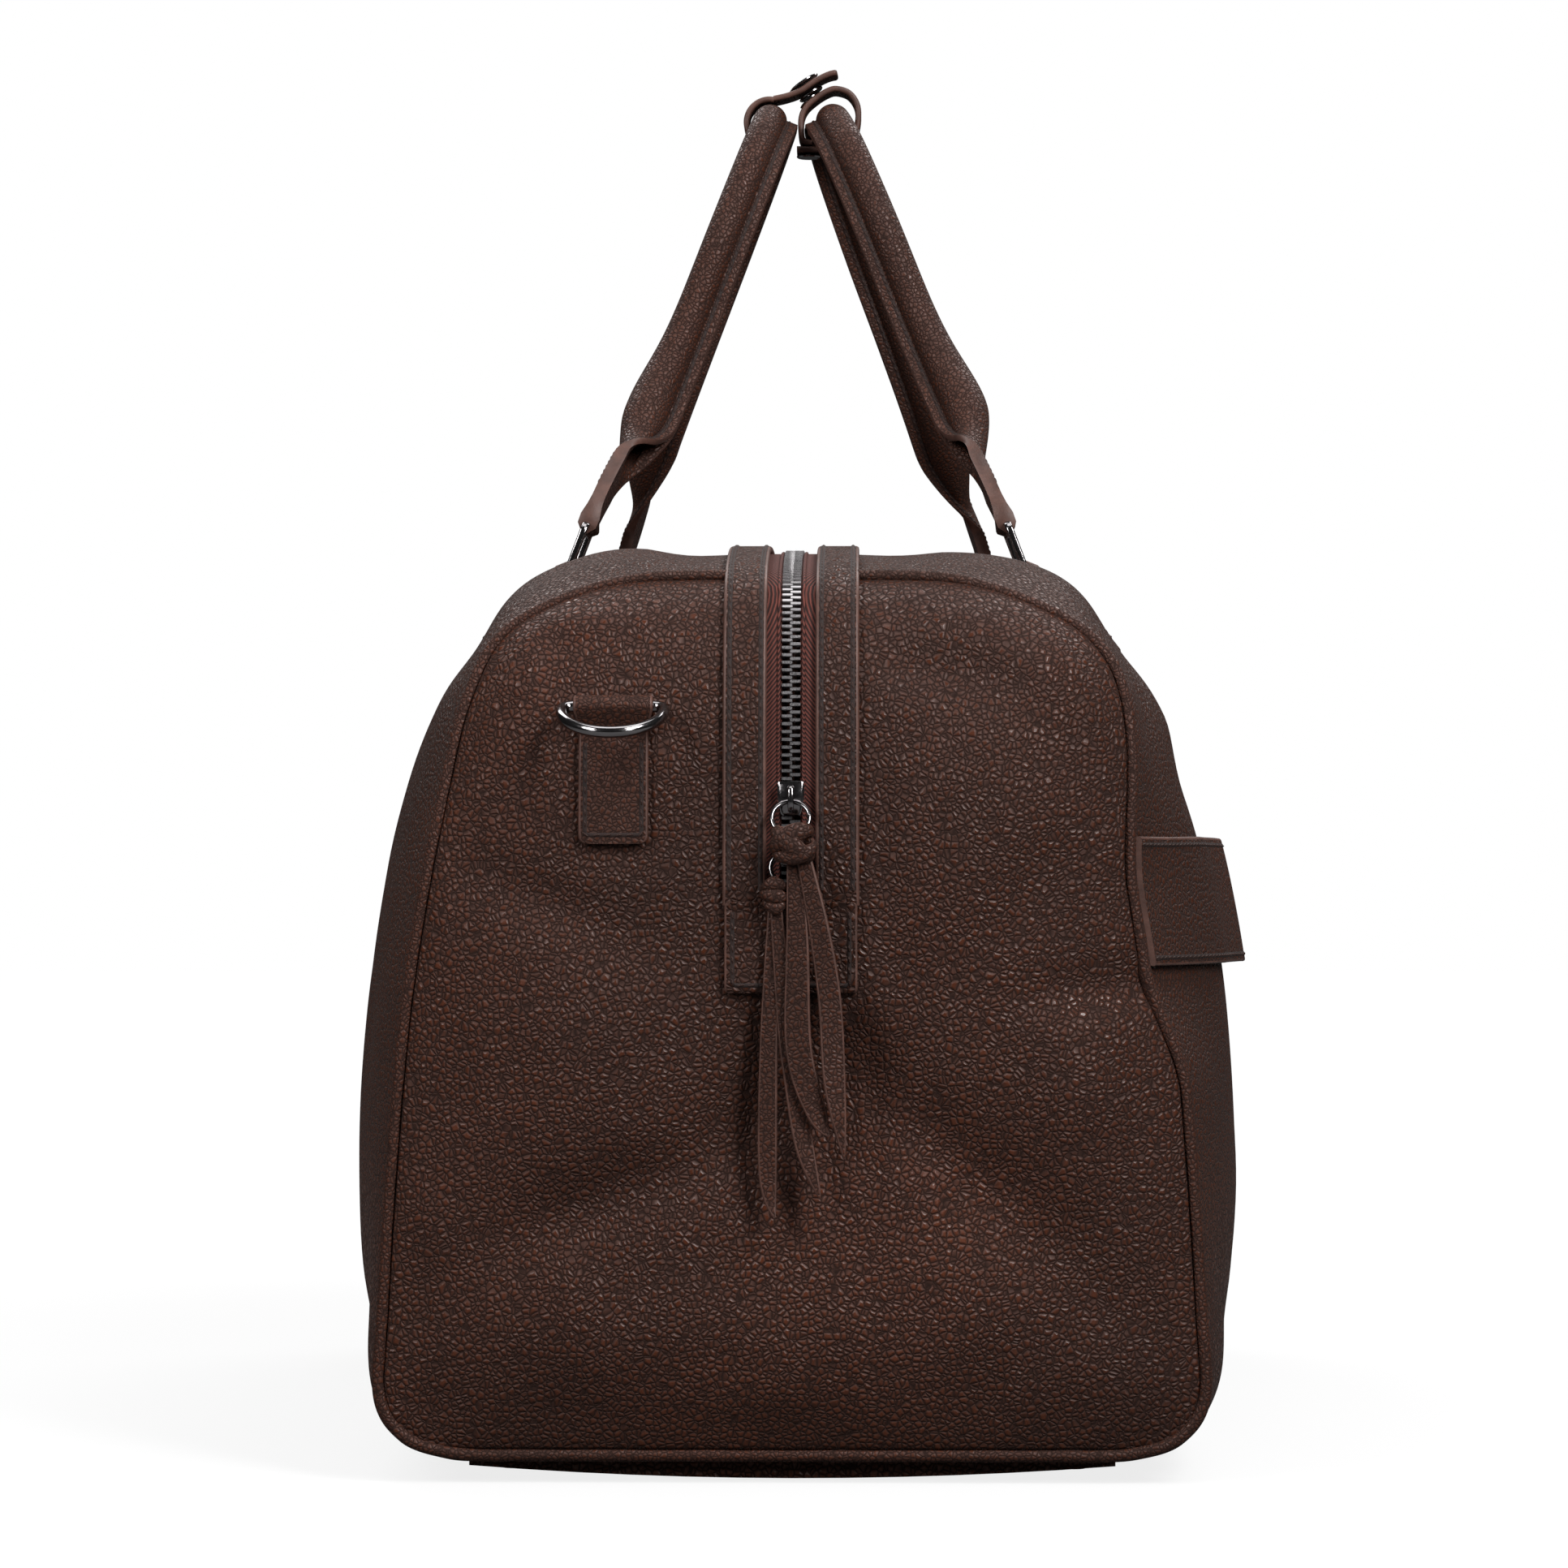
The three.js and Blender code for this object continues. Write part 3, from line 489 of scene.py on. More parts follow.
def edge_look(name, color, roughness=0.5):
    """Painted edges: smooth, a little glossy and lighter where they are worn."""
    made, tree, shader = material(name, color, roughness, specular=0.3)
    where = coordinates(tree)
    wear = noise_node(tree, where, 130.0, 4.0, 0.6)
    tone = ramp(tree, wear, [(0.35, shade(color, 0.75)), (0.7, shade(color, 1.45))])
    tree.links.new(tone, shader.inputs["Base Color"])
    relief(tree, shader, [(noise_node(tree, where, 900.0, 3.0), 0.25, 0.0003)])
    return made


def metal_look(name, color, roughness, scratches=0.06):
    made, tree, shader = material(name, color, roughness, metallic=1.0)
    where = coordinates(tree)
    stretched = coordinates(tree, (1.0, 8.0, 1.0))
    cloud = noise_node(tree, where, 60.0, 3.0)
    tone = ramp(tree, cloud, [(0.3, shade(color, 0.8)), (0.7, shade(color, 1.2))])
    tree.links.new(tone, shader.inputs["Base Color"])
    lines = noise_node(tree, stretched, 1400.0, 2.0)
    rough = ramp(tree, lines, [(0.3, roughness * 0.7), (0.8, roughness * 1.7)])
    tree.links.new(rough, shader.inputs["Roughness"])
    relief(tree, shader, [(lines, scratches, 0.0001)])
    return made


def weave_look(name, color, scale, depth, rough=0.85):
    """Woven cloth: two sets of threads, one along X and Z, one along Y, with painted highlight where they cross and
    painted shade between them.
    """
    made, tree, shader = material(name, color, rough, specular=0.25)
    where = coordinates(tree)
    threads = []
    for direction in ("Y", "DIAGONAL"):
        wave = node(tree, "TexWave", bands_direction=direction, Scale=scale, Distortion=0.6, Detail=1.0)
        tree.links.new(where, wave.inputs["Vector"])
        threads.append(wave.outputs["Fac"])
    weave = math_node(tree, "MULTIPLY", threads[0], threads[1])
    cloud = noise_node(tree, where, 45.0, 3.0)
    # Painted light and shade: thread crossings lightened to 1.35 times the colour, gaps between threads darkened to
    # 0.45 of it.
    tone = mixed(tree, weave, shade(color, 0.45), shade(color, 1.35))
    faded = mixed(tree, 0.35, tone, ramp(tree, cloud, [(0.2, color), (0.8, shade(color, 0.6))]))
    tree.links.new(faded, shader.inputs["Base Color"])
    relief(tree, shader, [(weave, 0.6, depth)])
    return made


def herringbone_look(name, color):
    """Zip tape: slanting ribs that mirror each other on the two sides of the teeth; the ribs carry painted highlight on
    their tops and painted shade in the hollows between them.
    """
    made, tree, shader = material(name, color, 0.8, specular=0.25)
    where = node(tree, "TexCoord").outputs["Object"]
    parts = node(tree, "SeparateXYZ")
    tree.links.new(where, parts.inputs[0])
    along = math_node(tree, "ADD", parts.outputs["X"], parts.outputs["Z"])
    slanted = math_node(tree, "ADD", along, math_node(tree, "ABSOLUTE", parts.outputs["Y"]))
    wave = math_node(tree, "SINE", math_node(tree, "MULTIPLY", slanted, 4800.0))
    rib = math_node(tree, "MULTIPLY_ADD", wave, 0.5)  # the third socket's own 0.5 lifts it to 0 to 1
    ribs = ramp(tree, rib, [(0.25, 0), (0.7, 1)])
    fibre = noise_node(tree, where, 1900.0, 2.0)
    # Painted light and shade: the rib tops are lightened to 1.5 times the tape's colour and the hollows darkened to
    # 0.22 of it.
    tone = mixed(tree, ribs, shade(color, 0.22), shade(color, 1.5))
    tree.links.new(mixed(tree, fibre, tone, mixed(tree, 1.0, tone, 0.7, "MULTIPLY")), shader.inputs["Base Color"])
    relief(tree, shader, [(ribs, 0.8, 0.0004), (fibre, 0.2, 0.0002)])
    return made


LEATHER = leather_look("pebbled_leather", (0.036, 0.0105, 0.0047), (0.052, 0.0152, 0.007), (0.072, 0.0205, 0.0093))
STRAP_LEATHER = leather_look(
    "strap_leather", (0.035, 0.0103, 0.0047), (0.05, 0.0147, 0.0068), (0.066, 0.019, 0.0088), 640.0, 0.0003, (0.3, 0.42)
)
EDGE = edge_look("painted_edge", (0.062, 0.028, 0.0205))
THREAD = weave_look("thread", (0.034, 0.0135, 0.009), 900.0, 0.0002, rough=0.6)
# Painted shade: a very dark colour for the strip under the stitches.
STITCH_SHADE = edge_look("stitch_painted_shade", (0.011, 0.004, 0.0028), 0.7)
TAPE = herringbone_look("zip_tape", (0.075, 0.02, 0.0145))
METAL = metal_look("gunmetal", (0.23, 0.218, 0.222), 0.12)
TEETH = metal_look("zip_metal", (0.34, 0.325, 0.33), 0.3)
CLOTH = weave_look("lining_cloth", (0.12, 0.095, 0.075), 260.0, 0.0004)
BOARD = edge_look("stiffening_board", (0.02, 0.02, 0.02))

# ---------- camera, light and floor ----------
scene = bpy.context.scene
camera = bpy.data.objects.new("camera", bpy.data.cameras.new("camera"))
scene.collection.objects.link(camera)
# Fitted to the photo's outlines, with the camera 1.5 m from the near end.
camera.data.lens = 107.3
camera.data.sensor_width = 36
camera.location = (1.745, 0.0221, 0.1839)
aim = Vector((0.245, -0.0024, 0.224)) - camera.location
camera.rotation_euler = aim.to_track_quat("-Z", "Y").to_euler()
camera.data.clip_start = 0.05
scene.camera = camera
scene.view_settings.view_transform = "Standard"


def softbox(name, place, target, width, height, power):
    light = bpy.data.lights.new(name, "AREA")
    light.shape = "RECTANGLE"
    light.size, light.size_y, light.energy = width, height, power
    holder = bpy.data.objects.new(name, light)
    holder.location = place
    holder.rotation_euler = (Vector(target) - Vector(place)).to_track_quat("-Z", "Y").to_euler()
    scene.collection.objects.link(holder)


softbox("key_right", (1.05, 0.75, 1.25), (0.25, 0.05, 0.2), 0.5, 0.7, 25)
softbox("key_left", (1.1, -0.95, 1.05), (0.25, -0.05, 0.2), 0.4, 0.7, 14)
softbox("gleam_right", (1.65, 0.95, 0.85), (0.25, 0.05, 0.25), 0.25, 0.6, 12)
softbox("gleam_left", (1.65, -1.15, 0.75), (0.25, -0.1, 0.25), 0.2, 0.6, 4)
softbox("top", (0.2, 0.0, 1.9), (0, 0, 0.2), 1.2, 1.0, 11)
softbox("back_left", (-1.2, -0.9, 1.9), (0, 0, 0.1), 0.9, 0.9, 22)
softbox("back_right", (-1.2, 0.9, 1.9), (0, 0, 0.1), 0.9, 0.9, 22)

world = bpy.data.worlds.new("studio")
scene.world = world
world.use_nodes = True
sky = world.node_tree
background = sky.nodes["Background"]
background.inputs["Color"].default_value = (1, 1, 1, 1)
background.inputs["Strength"].default_value = 0.03
seen = node(sky, "Background", Color=(1, 1, 1, 1), Strength=1.0)
path_node = node(sky, "LightPath")
choose = node(sky, "MixShader")
sky.links.new(path_node.outputs["Is Camera Ray"], choose.inputs[0])
sky.links.new(background.outputs[0], choose.inputs[1])
sky.links.new(seen.outputs[0], choose.inputs[2])
sky.links.new(choose.outputs[0], sky.nodes["World Output"].inputs["Surface"])

floor_mesh = bpy.data.meshes.new("floor")
floor_mesh.from_pydata([(-12, -12, 0), (12, -12, 0), (12, 12, 0), (-12, 12, 0)], [], [(0, 1, 2, 3)])
floor = bpy.data.objects.new("floor", floor_mesh)
scene.collection.objects.link(floor)
floor_look, floor_tree, floor_shader = material("floor_white", (0.13, 0.13, 0.13), 0.8, specular=0.0)
floor_shader.inputs["Emission Color"].default_value = (1, 1, 1, 1)
# The floor glows white for camera rays only; the glow is dimmer near the bag (0.82) than far off (1.0), partly to even
# out the lamps' falloff and partly as a painted shadow round the bag.
away = node(floor_tree, "VectorMath", operation="LENGTH")
floor_tree.links.new(node(floor_tree, "TexCoord").outputs["Object"], away.inputs[0])
fade = node(floor_tree, "MapRange", interpolation_type="SMOOTHSTEP")
for socket, value in (("From Min", 0.35), ("From Max", 1.7), ("To Min", 0.82), ("To Max", 1.0)):
    fade.inputs[socket].default_value = value
floor_tree.links.new(away.outputs["Value"], fade.inputs["Value"])
first_sight = node(floor_tree, "LightPath").outputs["Is Camera Ray"]
floor_tree.links.new(math_node(floor_tree, "MULTIPLY", fade.outputs["Result"], first_sight),
                     floor_shader.inputs["Emission Strength"])
floor_mesh.materials.append(floor_look)


# ---------- leather panels ----------
def ease(low, high, n, power=1.0):
    """Steps from low to high that get finer towards both."""
    s = np.sin(np.linspace(-1, 1, n) * pi / 2)
    return (low + high) / 2 + (high - low) / 2 * (power * s + (1 - power) * np.linspace(-1, 1, n))


def panel(name, outer, body, replaces, thickness=2.4):
    """A padded leather panel whose outside is a grid of points."""
    rows, columns = outer.shape[:2]
    made = build(name, outer.reshape(-1, 3), grid_faces(rows, columns), [LEATHER], body, replaces, "leather", sharp=70)
    solid = made.modifiers.new("thickness", "SOLIDIFY")
    solid.thickness = thickness * MM
    solid.offset = -1
    return made


def lining(name, inner, replaces, out):
    rows, columns = inner.shape[:2]
    made = build(name, inner.reshape(-1, 3), grid_faces(rows, columns), [CLOTH], "bag", replaces, "lining", sharp=70)
    facing_out(made, out)
    solid = made.modifiers.new("thickness", "SOLIDIFY")
    solid.thickness = 0.8 * MM
    solid.offset = -1


def facing_out(obj, out):
    """Turns a panel's faces to look out of the bag."""
    middle = sum((p.normal for p in obj.data.polygons), Vector())
    if middle.dot(Vector(out)) < 0:
        obj.data.flip_normals()


for end, name in ((1, "right"), (-1, "left")):
    zs = ease(11.2, 290.7, 130, 0.6)
    ts = ease(-0.984, 0.984, 120, 0.75)
    z = np.repeat(zs[:, None], len(ts), 1)
    y = ts[None, :] * (half_width(z) - seam_pull(z) * (ts[None, :] > 0))
    x = end_x(y, z, end)
    slot = smoothstep(14.5, 11.5, np.abs(y)) * smoothstep(172, 178, z)
    pucker = smoothstep(0.93, 1.0, np.abs(ts))[None, :] * 0.5 * cloudy(z * 3.0, y * 0, 22, end * 4.4)
    x = x - 3.4 * slot + pucker
    outer = np.stack([end * x, y, z], -1)
    facing_out(panel("end_leather_" + name, outer, "bag", ["end_panel_" + name]), (end, 0, 0))
    inner = outer[4:-4:2, 3:-3:2] - np.array([end * 3.6, 0, 0])
    lining("end_cloth_" + name, inner, ["end_lining_" + name], (end, 0, 0))

for side, name in ((-1, "front"), (1, "back")):
    us = ease(-0.9945, 0.9945, 170, 0.7)
    vs = np.linspace(0.0, 0.999, 120)
    u, v = np.meshgrid(us, vs)
    outer = side_point(u, v, side)
    facing_out(panel(name + "_leather", outer, "bag", [name + "_panel"]), (0, side, 0.4))
    u, v = np.meshgrid(np.linspace(-0.985, 0.985, 70), np.linspace(0.05, 0.985, 60))
    lining(name + "_cloth", side_point(u, v, side, raised=-3.7), [name + "_lining"], (0, side, 0.4))

# ---------- piping ----------
for end, name in ((1, "right"), (-1, "left")):
    half = spline(END_OUTLINE, np.linspace(0.021, 1, 170))
    bottom = [(a, 9.2) for a in np.linspace(90, -90, 30)]
    line = np.array([*half, *bottom, *[(-a, b) for a, b in half[::-1]]])
    path = np.stack([end * seam_x(line[:, 1]), line[:, 0], line[:, 1]], 1)
    path[:, 1] -= seam_pull(path[:, 2]) * (path[:, 1] > 0)
    wobble = cloudy(path[:, 1], path[:, 2], 14, end * 1.7)
    path[:, 0] += end * 0.35 * wobble
    radius = 2.15 + 0.12 * cloudy(path[:, 2], path[:, 1], 7, end * 2.6)
    tube("piping_" + name + "_leather", path, radius, STRAP_LEATHER, "bag", (1, 0, 0), closed=False,
         replaces=["piping_" + name], slot="edge", sharp=80)


# ---------- zip ----------
def zip_keys(from_z):
    zs = np.array([*np.linspace(from_z, 250, 5), 266, 278, 286, 290.5])
    t0 = np.array([(float(zip_line_x(z)), 0, z) for z in zs])
    us = np.linspace(0.955, -0.955, 15)
    crown = side_point(us, 0 * us, 1, dents=False)
    crown[:, 1] = 0
    fall = t0[::-1] * np.array([-1, 1, 1])
    return np.concatenate([t0, crown, fall])


def zip_line_x(z):
    """The end panel's middle line, with no dents."""
    s = (z - (TOP_Z + BOTTOM_Z) / 2) / ((TOP_Z - BOTTOM_Z) / 2)
    return seam_x(z) + (END_BULGE_X - seam_x(z)) * max(0, 1 - s**4) ** 0.625


def zip_path(from_z, step=2.5):
    """The zip's line in the plane y = 0, and its normals, at even steps."""
    keys = zip_keys(from_z)
    fine = spline(keys, np.linspace(0, 1, 1600))
    points, along = resample(fine, step)
    return points, np.stack([along[:, 2], 0 * along[:, 0], -along[:, 0]], 1), along


def along_zip(path, normals, y0):
    """Puts a strap's section on the zip's line, y0 from the middle."""

    def place(i, a, n):
        return path[i] + np.outer(np.ones(len(a)) * (y0 + a), [0, 1, 0]) + np.outer(n, normals[i])

    return place


trim_path, trim_normals, _ = zip_path(183.0, 4.0)
tape_path, tape_normals, _ = zip_path(175, 4.0)
teeth_path, teeth_normals, teeth_along = zip_path(TRIM_END_Z, 2.5)
for s, name in ((-1, "front"), (1, "back")):
    n = len(trim_path)
    strap("zip_binding_" + name, along_zip(trim_path, trim_normals, s * 14.8), np.full(n, 7.0), 0.2,
          np.array([1.9, *[2.6] * (n - 2), 1.9]), "bag",
          across=10, radius=1.0, replaces=["zip_trim_" + name])
    for row, y in (("inner", 9.7), ("outer", 19.7)):
        path = trim_path + trim_normals * 2.7 + np.array([0, s * y, 0])
        stitches(f"zip_binding_stitches_{name}_{row}", path[1:-1], trim_normals[1:-1], "bag")
    count = len(tape_path)
    strap("zip_cloth_" + name, along_zip(tape_path, tape_normals, s * 7.6), np.full(count, 4.7), -1.1, -0.1, "bag",
          look=TAPE, edge=TAPE, replaces=["zip_tape_" + name], slot="tape")
    ridge = tape_path + np.array([0, s * 3.9, 0]) + tape_normals * 0.1
    tube("zip_cloth_cord_" + name, ridge, 0.55, TAPE, "bag", (0, 1, 0), sides=8, closed=False, slot="tape", sharp=80)
    shift = 0.0 if s < 0 else 1.25
    places = teeth_path + teeth_along * shift + np.array([0, s * 1.45, 0])
    template, faces = [], []
    half_tooth = [(-1.9, 0.42), (-1.55, 0.62), (0.3, 0.6), (1.6, 0.56)]
    tooth = half_tooth + [(a, -b) for a, b in half_tooth[::-1]]
    for h, scale in ((-1.1, 0.8), (-0.85, 1.0), (0.75, 1.0), (1.05, 0.75)):
        for a, b in tooth:
            template.append((b * scale, s * a * (1 if abs(scale - 1) < 0.01 else 0.93), h))
    faces = grid_faces(4, 8, round_columns=True) + [tuple(range(8)), tuple(range(24, 32))]
    teeth_side = np.cross(teeth_normals, teeth_along)
    flip = np.sign(np.sum(teeth_side * np.array([0, 1, 0]), 1))[0]
    template = [(a, b * flip, h) for a, b, h in template]
    repeat("zip_teeth_" + name + "_metal", template, faces, places, teeth_along, teeth_normals, TEETH, "bag",
           replaces=["zip_teeth_" + name], slot="metal", sharp=50)


# ---------- leather sewn on the ends ----------
def on_end(end, y0, zs):
    """Puts a strap's section on an end panel, at the height zs[i]."""

    def place(i, a, n):
        y, z = y0 + a, np.full(len(a), zs[i])
        return np.stack([end * (end_x(y, z, end) + n), y, z], 1)

    return place


def corner_cut(zs, low, high, radius):
    """How much narrower a piece is near its two ends, for rounded corners."""
    near = np.clip(np.minimum(zs - low, high - zs), 0, radius)
    return radius - np.sqrt(radius**2 - (radius - near) ** 2)


def outline_on_end(end, points, raised):
    """A line through (y, z) points, laid on an end panel."""
    fine = resample(np.array([(y, z, 0) for y, z in points], float), 0.8)[0]
    x = end * (end_x(fine[:, 0], fine[:, 1], end) + raised)
    return np.stack([x, fine[:, 0], fine[:, 1]], 1)


for end, name in ((1, "right"), (-1, "left")):
    zs = np.array([156.9, 157.2, 157.7, *np.linspace(158.5, 184.5, 12), 185.3, 185.8, 186.1])
    heights = np.array([1.6, 2.3, 2.5, *[2.6] * 12, 2.9, 3.0, 2.8])
    widths = 21.2 - corner_cut(zs, 156.9, 186.1, 1.5)
    strap("zip_patch_" + name, on_end(end, 0, zs), widths, 0.2, heights, "bag", across=16,
          replaces=["zip_end_patch_" + name])
    frame_line = [(-18.6, 184), (-18.6, 159.6), (18.6, 159.6), (18.6, 184)]
    stitches("zip_patch_stitches_" + name, outline_on_end(end, frame_line, 2.65), (end, 0, 0), "bag")

# ---------- sliders and pulls ----------
def plate(outline, heights, insets):
    """A flat piece with chamfered faces: outline (y, z) points, at each height shrunk by its inset."""
    outline = np.asarray(outline, float)
    centre = outline.mean(0)
    away = outline - centre
    sizes = np.linalg.norm(away, axis=1, keepdims=True)
    rings = []
    for h, inset in zip(heights, insets):
        shrunk = centre + away * (1 - inset / sizes)
        rings.append(np.stack([np.full(len(outline), h), shrunk[:, 0], shrunk[:, 1]], 1))
    return rings


def rounded(outline, radius, steps=4):
    """An outline with its corners rounded."""
    points = []
    outline = np.asarray(outline, float)
    for k, p in enumerate(outline):
        before, after = outline[k - 1] - p, outline[(k + 1) % len(outline)] - p
        a, b = p + unit(before) * radius, p + unit(after) * radius
        for s in np.linspace(0, 1, steps):
            points.append((1 - s) ** 2 * a + 2 * s * (1 - s) * p + s**2 * b)
    return np.array(points)


PULLS = {
    "upper": {
        "z": 219.0, "ring": (0, 218, 6, 261, 5.9), "knot": (268.4, 1, 204.7), "size": (3.5, 7.5, 5.5),
        "tails": [
            (265.4, [(1.2, 201.5, 2.4), (2.2, 175, 3.6), (2.6, 140, 4.2), (8, 120, 3.4), (12, 112, 0.8)]),
            (267.0, [(4, 201, 2.4), (9, 178, 3.3), (12.4, 155, 3.7), (14, 128, 3.5), (17, 105, 0.6)]),
        ],
    },
    "lower": {
        "z": 203.0, "ring": (-1.4, 201.7, 5, 261.3, 2.8), "knot": (264.1, -5, 188.5), "size": (2.8, 3.5, 6.5),
        "tails": [
            (261.2, [(-5, 185, 2.2), (-6.9, 142, 2.9), (-7.3, 100, 2.9), (-5.2, 86, 0.6)]),
            (262.8, [(-4.6, 185, 2), (-1.5, 150, 3), (1, 130, 3.2), (4.5, 108, 3), (9.4, 92, 0.6)]),
        ],
    },
}


def knot_bands(name, centre, size, wraps, body, replaces):
    """A knot: puffy strips wrapped round one another. A wrap is (tilt, grow, half width, sideways shift)."""
    sx, sy, sz = size
    looks = [1 if abs(cos(t + np.pi / 16)) > 0.93 else 0 for t in turns(16)]
    for k, (tilt, grow, wide, shift) in enumerate(wraps):
        c, s = cos(radians(tilt)), sin(radians(tilt))
        reach = hypot(sy * c, sz * s) * 0.92
        rings = []
        for a in turns(48):
            out = np.array([sin(a) * sx * 0.74, cos(a) * c * reach, cos(a) * s * reach]) * grow
            normal = unit(np.array([sin(a) / sx, cos(a) * c / reach, cos(a) * s / reach]))
            side = np.array([0.0, -s, c])
            pinch = 1 - 0.22 * cos(2 * a)
            p = np.array(centre) + out + side * shift * (0.5 + 0.5 * sin(a))
            rings.append([p + wide * pinch * cos(t) * side + 1.25 * sin(t) * normal for t in turns(16)])
        loft(f"{name}_{k}", rings, [STRAP_LEATHER, EDGE], body, closed=True, side_look=looks,
             replaces=replaces if k == 0 else (), slot="leather", sharp=70)


WRAPS = {
    "upper": [(28, 1.0, 2.7, 2.6), (-38, 1.12, 2.5, -1.0), (80, 0.72, 2.8, 0.4), (12, 0.9, 2.2, -4.2)],
    "lower": [(5, 1.02, 1.9, 3.4), (-9, 1.1, 2.0, -0.6), (3, 0.9, 1.7, -4.4), (84, 0.66, 2.2, 0)],
}


for name, pull in PULLS.items():
    z0 = pull["z"]
    x0 = zip_line_x(z0) + 1.6
    corners = [(-3.1, -5.5), (3.1, -5.5), (4.3, 1), (4.2, 5.5), (-4.2, 5.5), (-4.3, 1)]
    outline = rounded([(y, z0 + z) for y, z in corners], 1.2)
    rings = plate(outline, [x0, x0 + 0.2, x0 + 1.2, x0 + 1.6], [0.4, 0.0, 0.0, 0.7])
    rides_on = name + "_slider"
    loft("slider_" + name + "_plate", rings, [METAL], rides_on, replaces=["slider_" + name], slot="metal")
    arch = spline([(x0 + 1.2, z0 + 3.8), (x0 + 3.6, z0 + 3.6), (x0 + 4.7, z0 + 1.8), (x0 + 4.7, z0 - 2.2),
                   (x0 + 3.6, z0 - 3.9), (x0 + 1.2, z0 - 4.1)], np.linspace(0, 1, 30))
    bar = np.stack([arch[:, 0], 0 * arch[:, 0], arch[:, 1]], 1)
    oblong = np.array([(cos(a) * 0.95, sin(a) * 0.42) for a in turns(12)])
    tube("slider_" + name + "_bail", bar, 1.0, METAL, rides_on, (0, 1, 0), closed=False, section=oblong, slot="metal")
    y, top, r, inner, out = pull["ring"]
    tilt = asin(out / (2 * r))
    a = turns(48)
    down = r - r * np.cos(a)
    path = np.stack([inner + down * sin(tilt), y + r * np.sin(a), top - down * cos(tilt)], 1)
    rides_on = name + "_pull"
    tube("pull_ring_" + name + "_wire", path, 0.78, METAL, rides_on, (cos(tilt), 0, sin(tilt)), sides=12,
         replaces=["pull_ring_" + name], slot="metal", sharp=80)
    knot_bands("pull_knot_" + name, pull["knot"], pull["size"], WRAPS[name], rides_on, ["tassel_" + name])
    for k, (x, line) in enumerate(pull["tails"]):
        keys = np.array(line, float)
        fine = spline(keys, np.linspace(0, 1, 46))
        curl = 0.5 * np.sin(np.linspace(0, 7 + 2 * k, 46)) * np.linspace(0.2, 1.4, 46)
        tip = smoothstep(1.0, 0.94, np.linspace(0, 1, 46))
        halves = np.maximum(fine[:, 2], 0.5) * (0.35 + 0.65 * tip)
        along = unit(np.gradient(fine[:, :2], axis=0))
        twist = 0.2 * np.sin(np.linspace(0.5, 5 + k, 46))

        def place(i, a, n, fine=fine, along=along, twist=twist, curl=curl, x=x):
            side = np.array([0, -along[i, 1], along[i, 0]])
            c, s = cos(twist[i]), sin(twist[i])
            middle = np.array([x + 1.0 + curl[i], fine[i, 0], fine[i, 1]])
            across = c * side + s * X_AXIS
            out = c * X_AXIS - s * side
            return middle + np.outer(a, across) + np.outer(n, out)

        strap(f"pull_tail_{name}_{k}", place, halves, -0.8, 0.8, rides_on, look=STRAP_LEATHER, across=5, radius=0.6)

# ---------- strap rings ----------
DRING_X = 253.539 + SKIN_GAP + 3.7
for end, name in ((1, "right"), (-1, "left")):
    turned = np.array([end, end, 1.0])
    arc = [(16.3 * cos(a), 3.5 + 17.5 * sin(a)) for a in np.linspace(0, pi, 40)]
    corner_a = [(-16.2, 2.2), (-15.6, 1.1), (-14.6, 0.4)]
    flat = [(y, 0.0) for y in np.linspace(-13, 13, 12)]
    corner_b = [(14.6, 0.4), (15.6, 1.1), (16.2, 2.2)]
    tilt = radians(25)
    path = np.array([(DRING_X + r * cos(tilt), DRING_Y + y, DRING_Z - r * sin(tilt))
                     for y, r in [*arc, *corner_a, *flat, *corner_b]])
    normal = (end * sin(tilt), 0, cos(tilt))
    tube("strap_ring_" + name, path * turned, DRING_BAR, METAL, name + "_dring", normal, sides=20,
         replaces=["dring_" + name], slot="metal", sharp=80)

    zs = np.array([204.6, 204.8, 205.2, 205.8, 206.6, *np.linspace(208, 240, 14)])
    surface = [(float(end_x(np.array([DRING_Y]), np.array([z]), 1)[0]), z) for z in zs]
    rise = [(DRING_X + 2.7 * cos(a), DRING_Z + 2.7 * sin(a)) for a in np.radians(np.linspace(-20, 200, 18))]
    line = np.array([(x + 1.6, z) for x, z in surface] + [(DRING_X + 0.4, 243.8)] + rise)
    widths = np.array([*(11.2 - corner_cut(zs, 204.6, 300, 2.6)), 11.8] + [12.7] * len(rise))
    across = np.broadcast_to(Y_AXIS, (len(line), 3))
    spine = np.stack([line[:, 0], np.full(len(line), DRING_Y), line[:, 1]], 1)
    along = unit(np.gradient(spine, axis=0))
    out = np.stack([along[:, 2], 0 * along[:, 0], -along[:, 0]], 1)
    bend = smoothstep(246, 238, line[:, 1])

    def tab_place(i, a, n, spine=spine, out=out, bend=bend, zs=zs, turned=turned):
        drop = 0.0
        if i < len(zs):
            z = np.full(len(a), spine[i, 2])
            drop = end_x(DRING_Y + a, z, 1) - end_x(np.array([DRING_Y]), z[:1], 1)[0]
        sunk = np.outer(drop * np.ones(len(a)), [1, 0, 0])
        return (spine[i] + np.outer(a, [0, 1, 0]) + np.outer(n, out[i]) + sunk) * turned

    strap("strap_tab_" + name, tab_place, widths, -1.0, 1.0, "bag", look=STRAP_LEATHER, across=10, radius=0.8,
          replaces=["dring_tab_" + name])
    tab_line = [(DRING_Y - 9, 238), (DRING_Y - 9, 207.4), (DRING_Y + 9, 207.4), (DRING_Y + 9, 238)]
    stitch_path = outline_on_end(1, tab_line, 2.65) * turned
    stitches("strap_tab_stitches_" + name, stitch_path, (end, 0, 0), "bag")

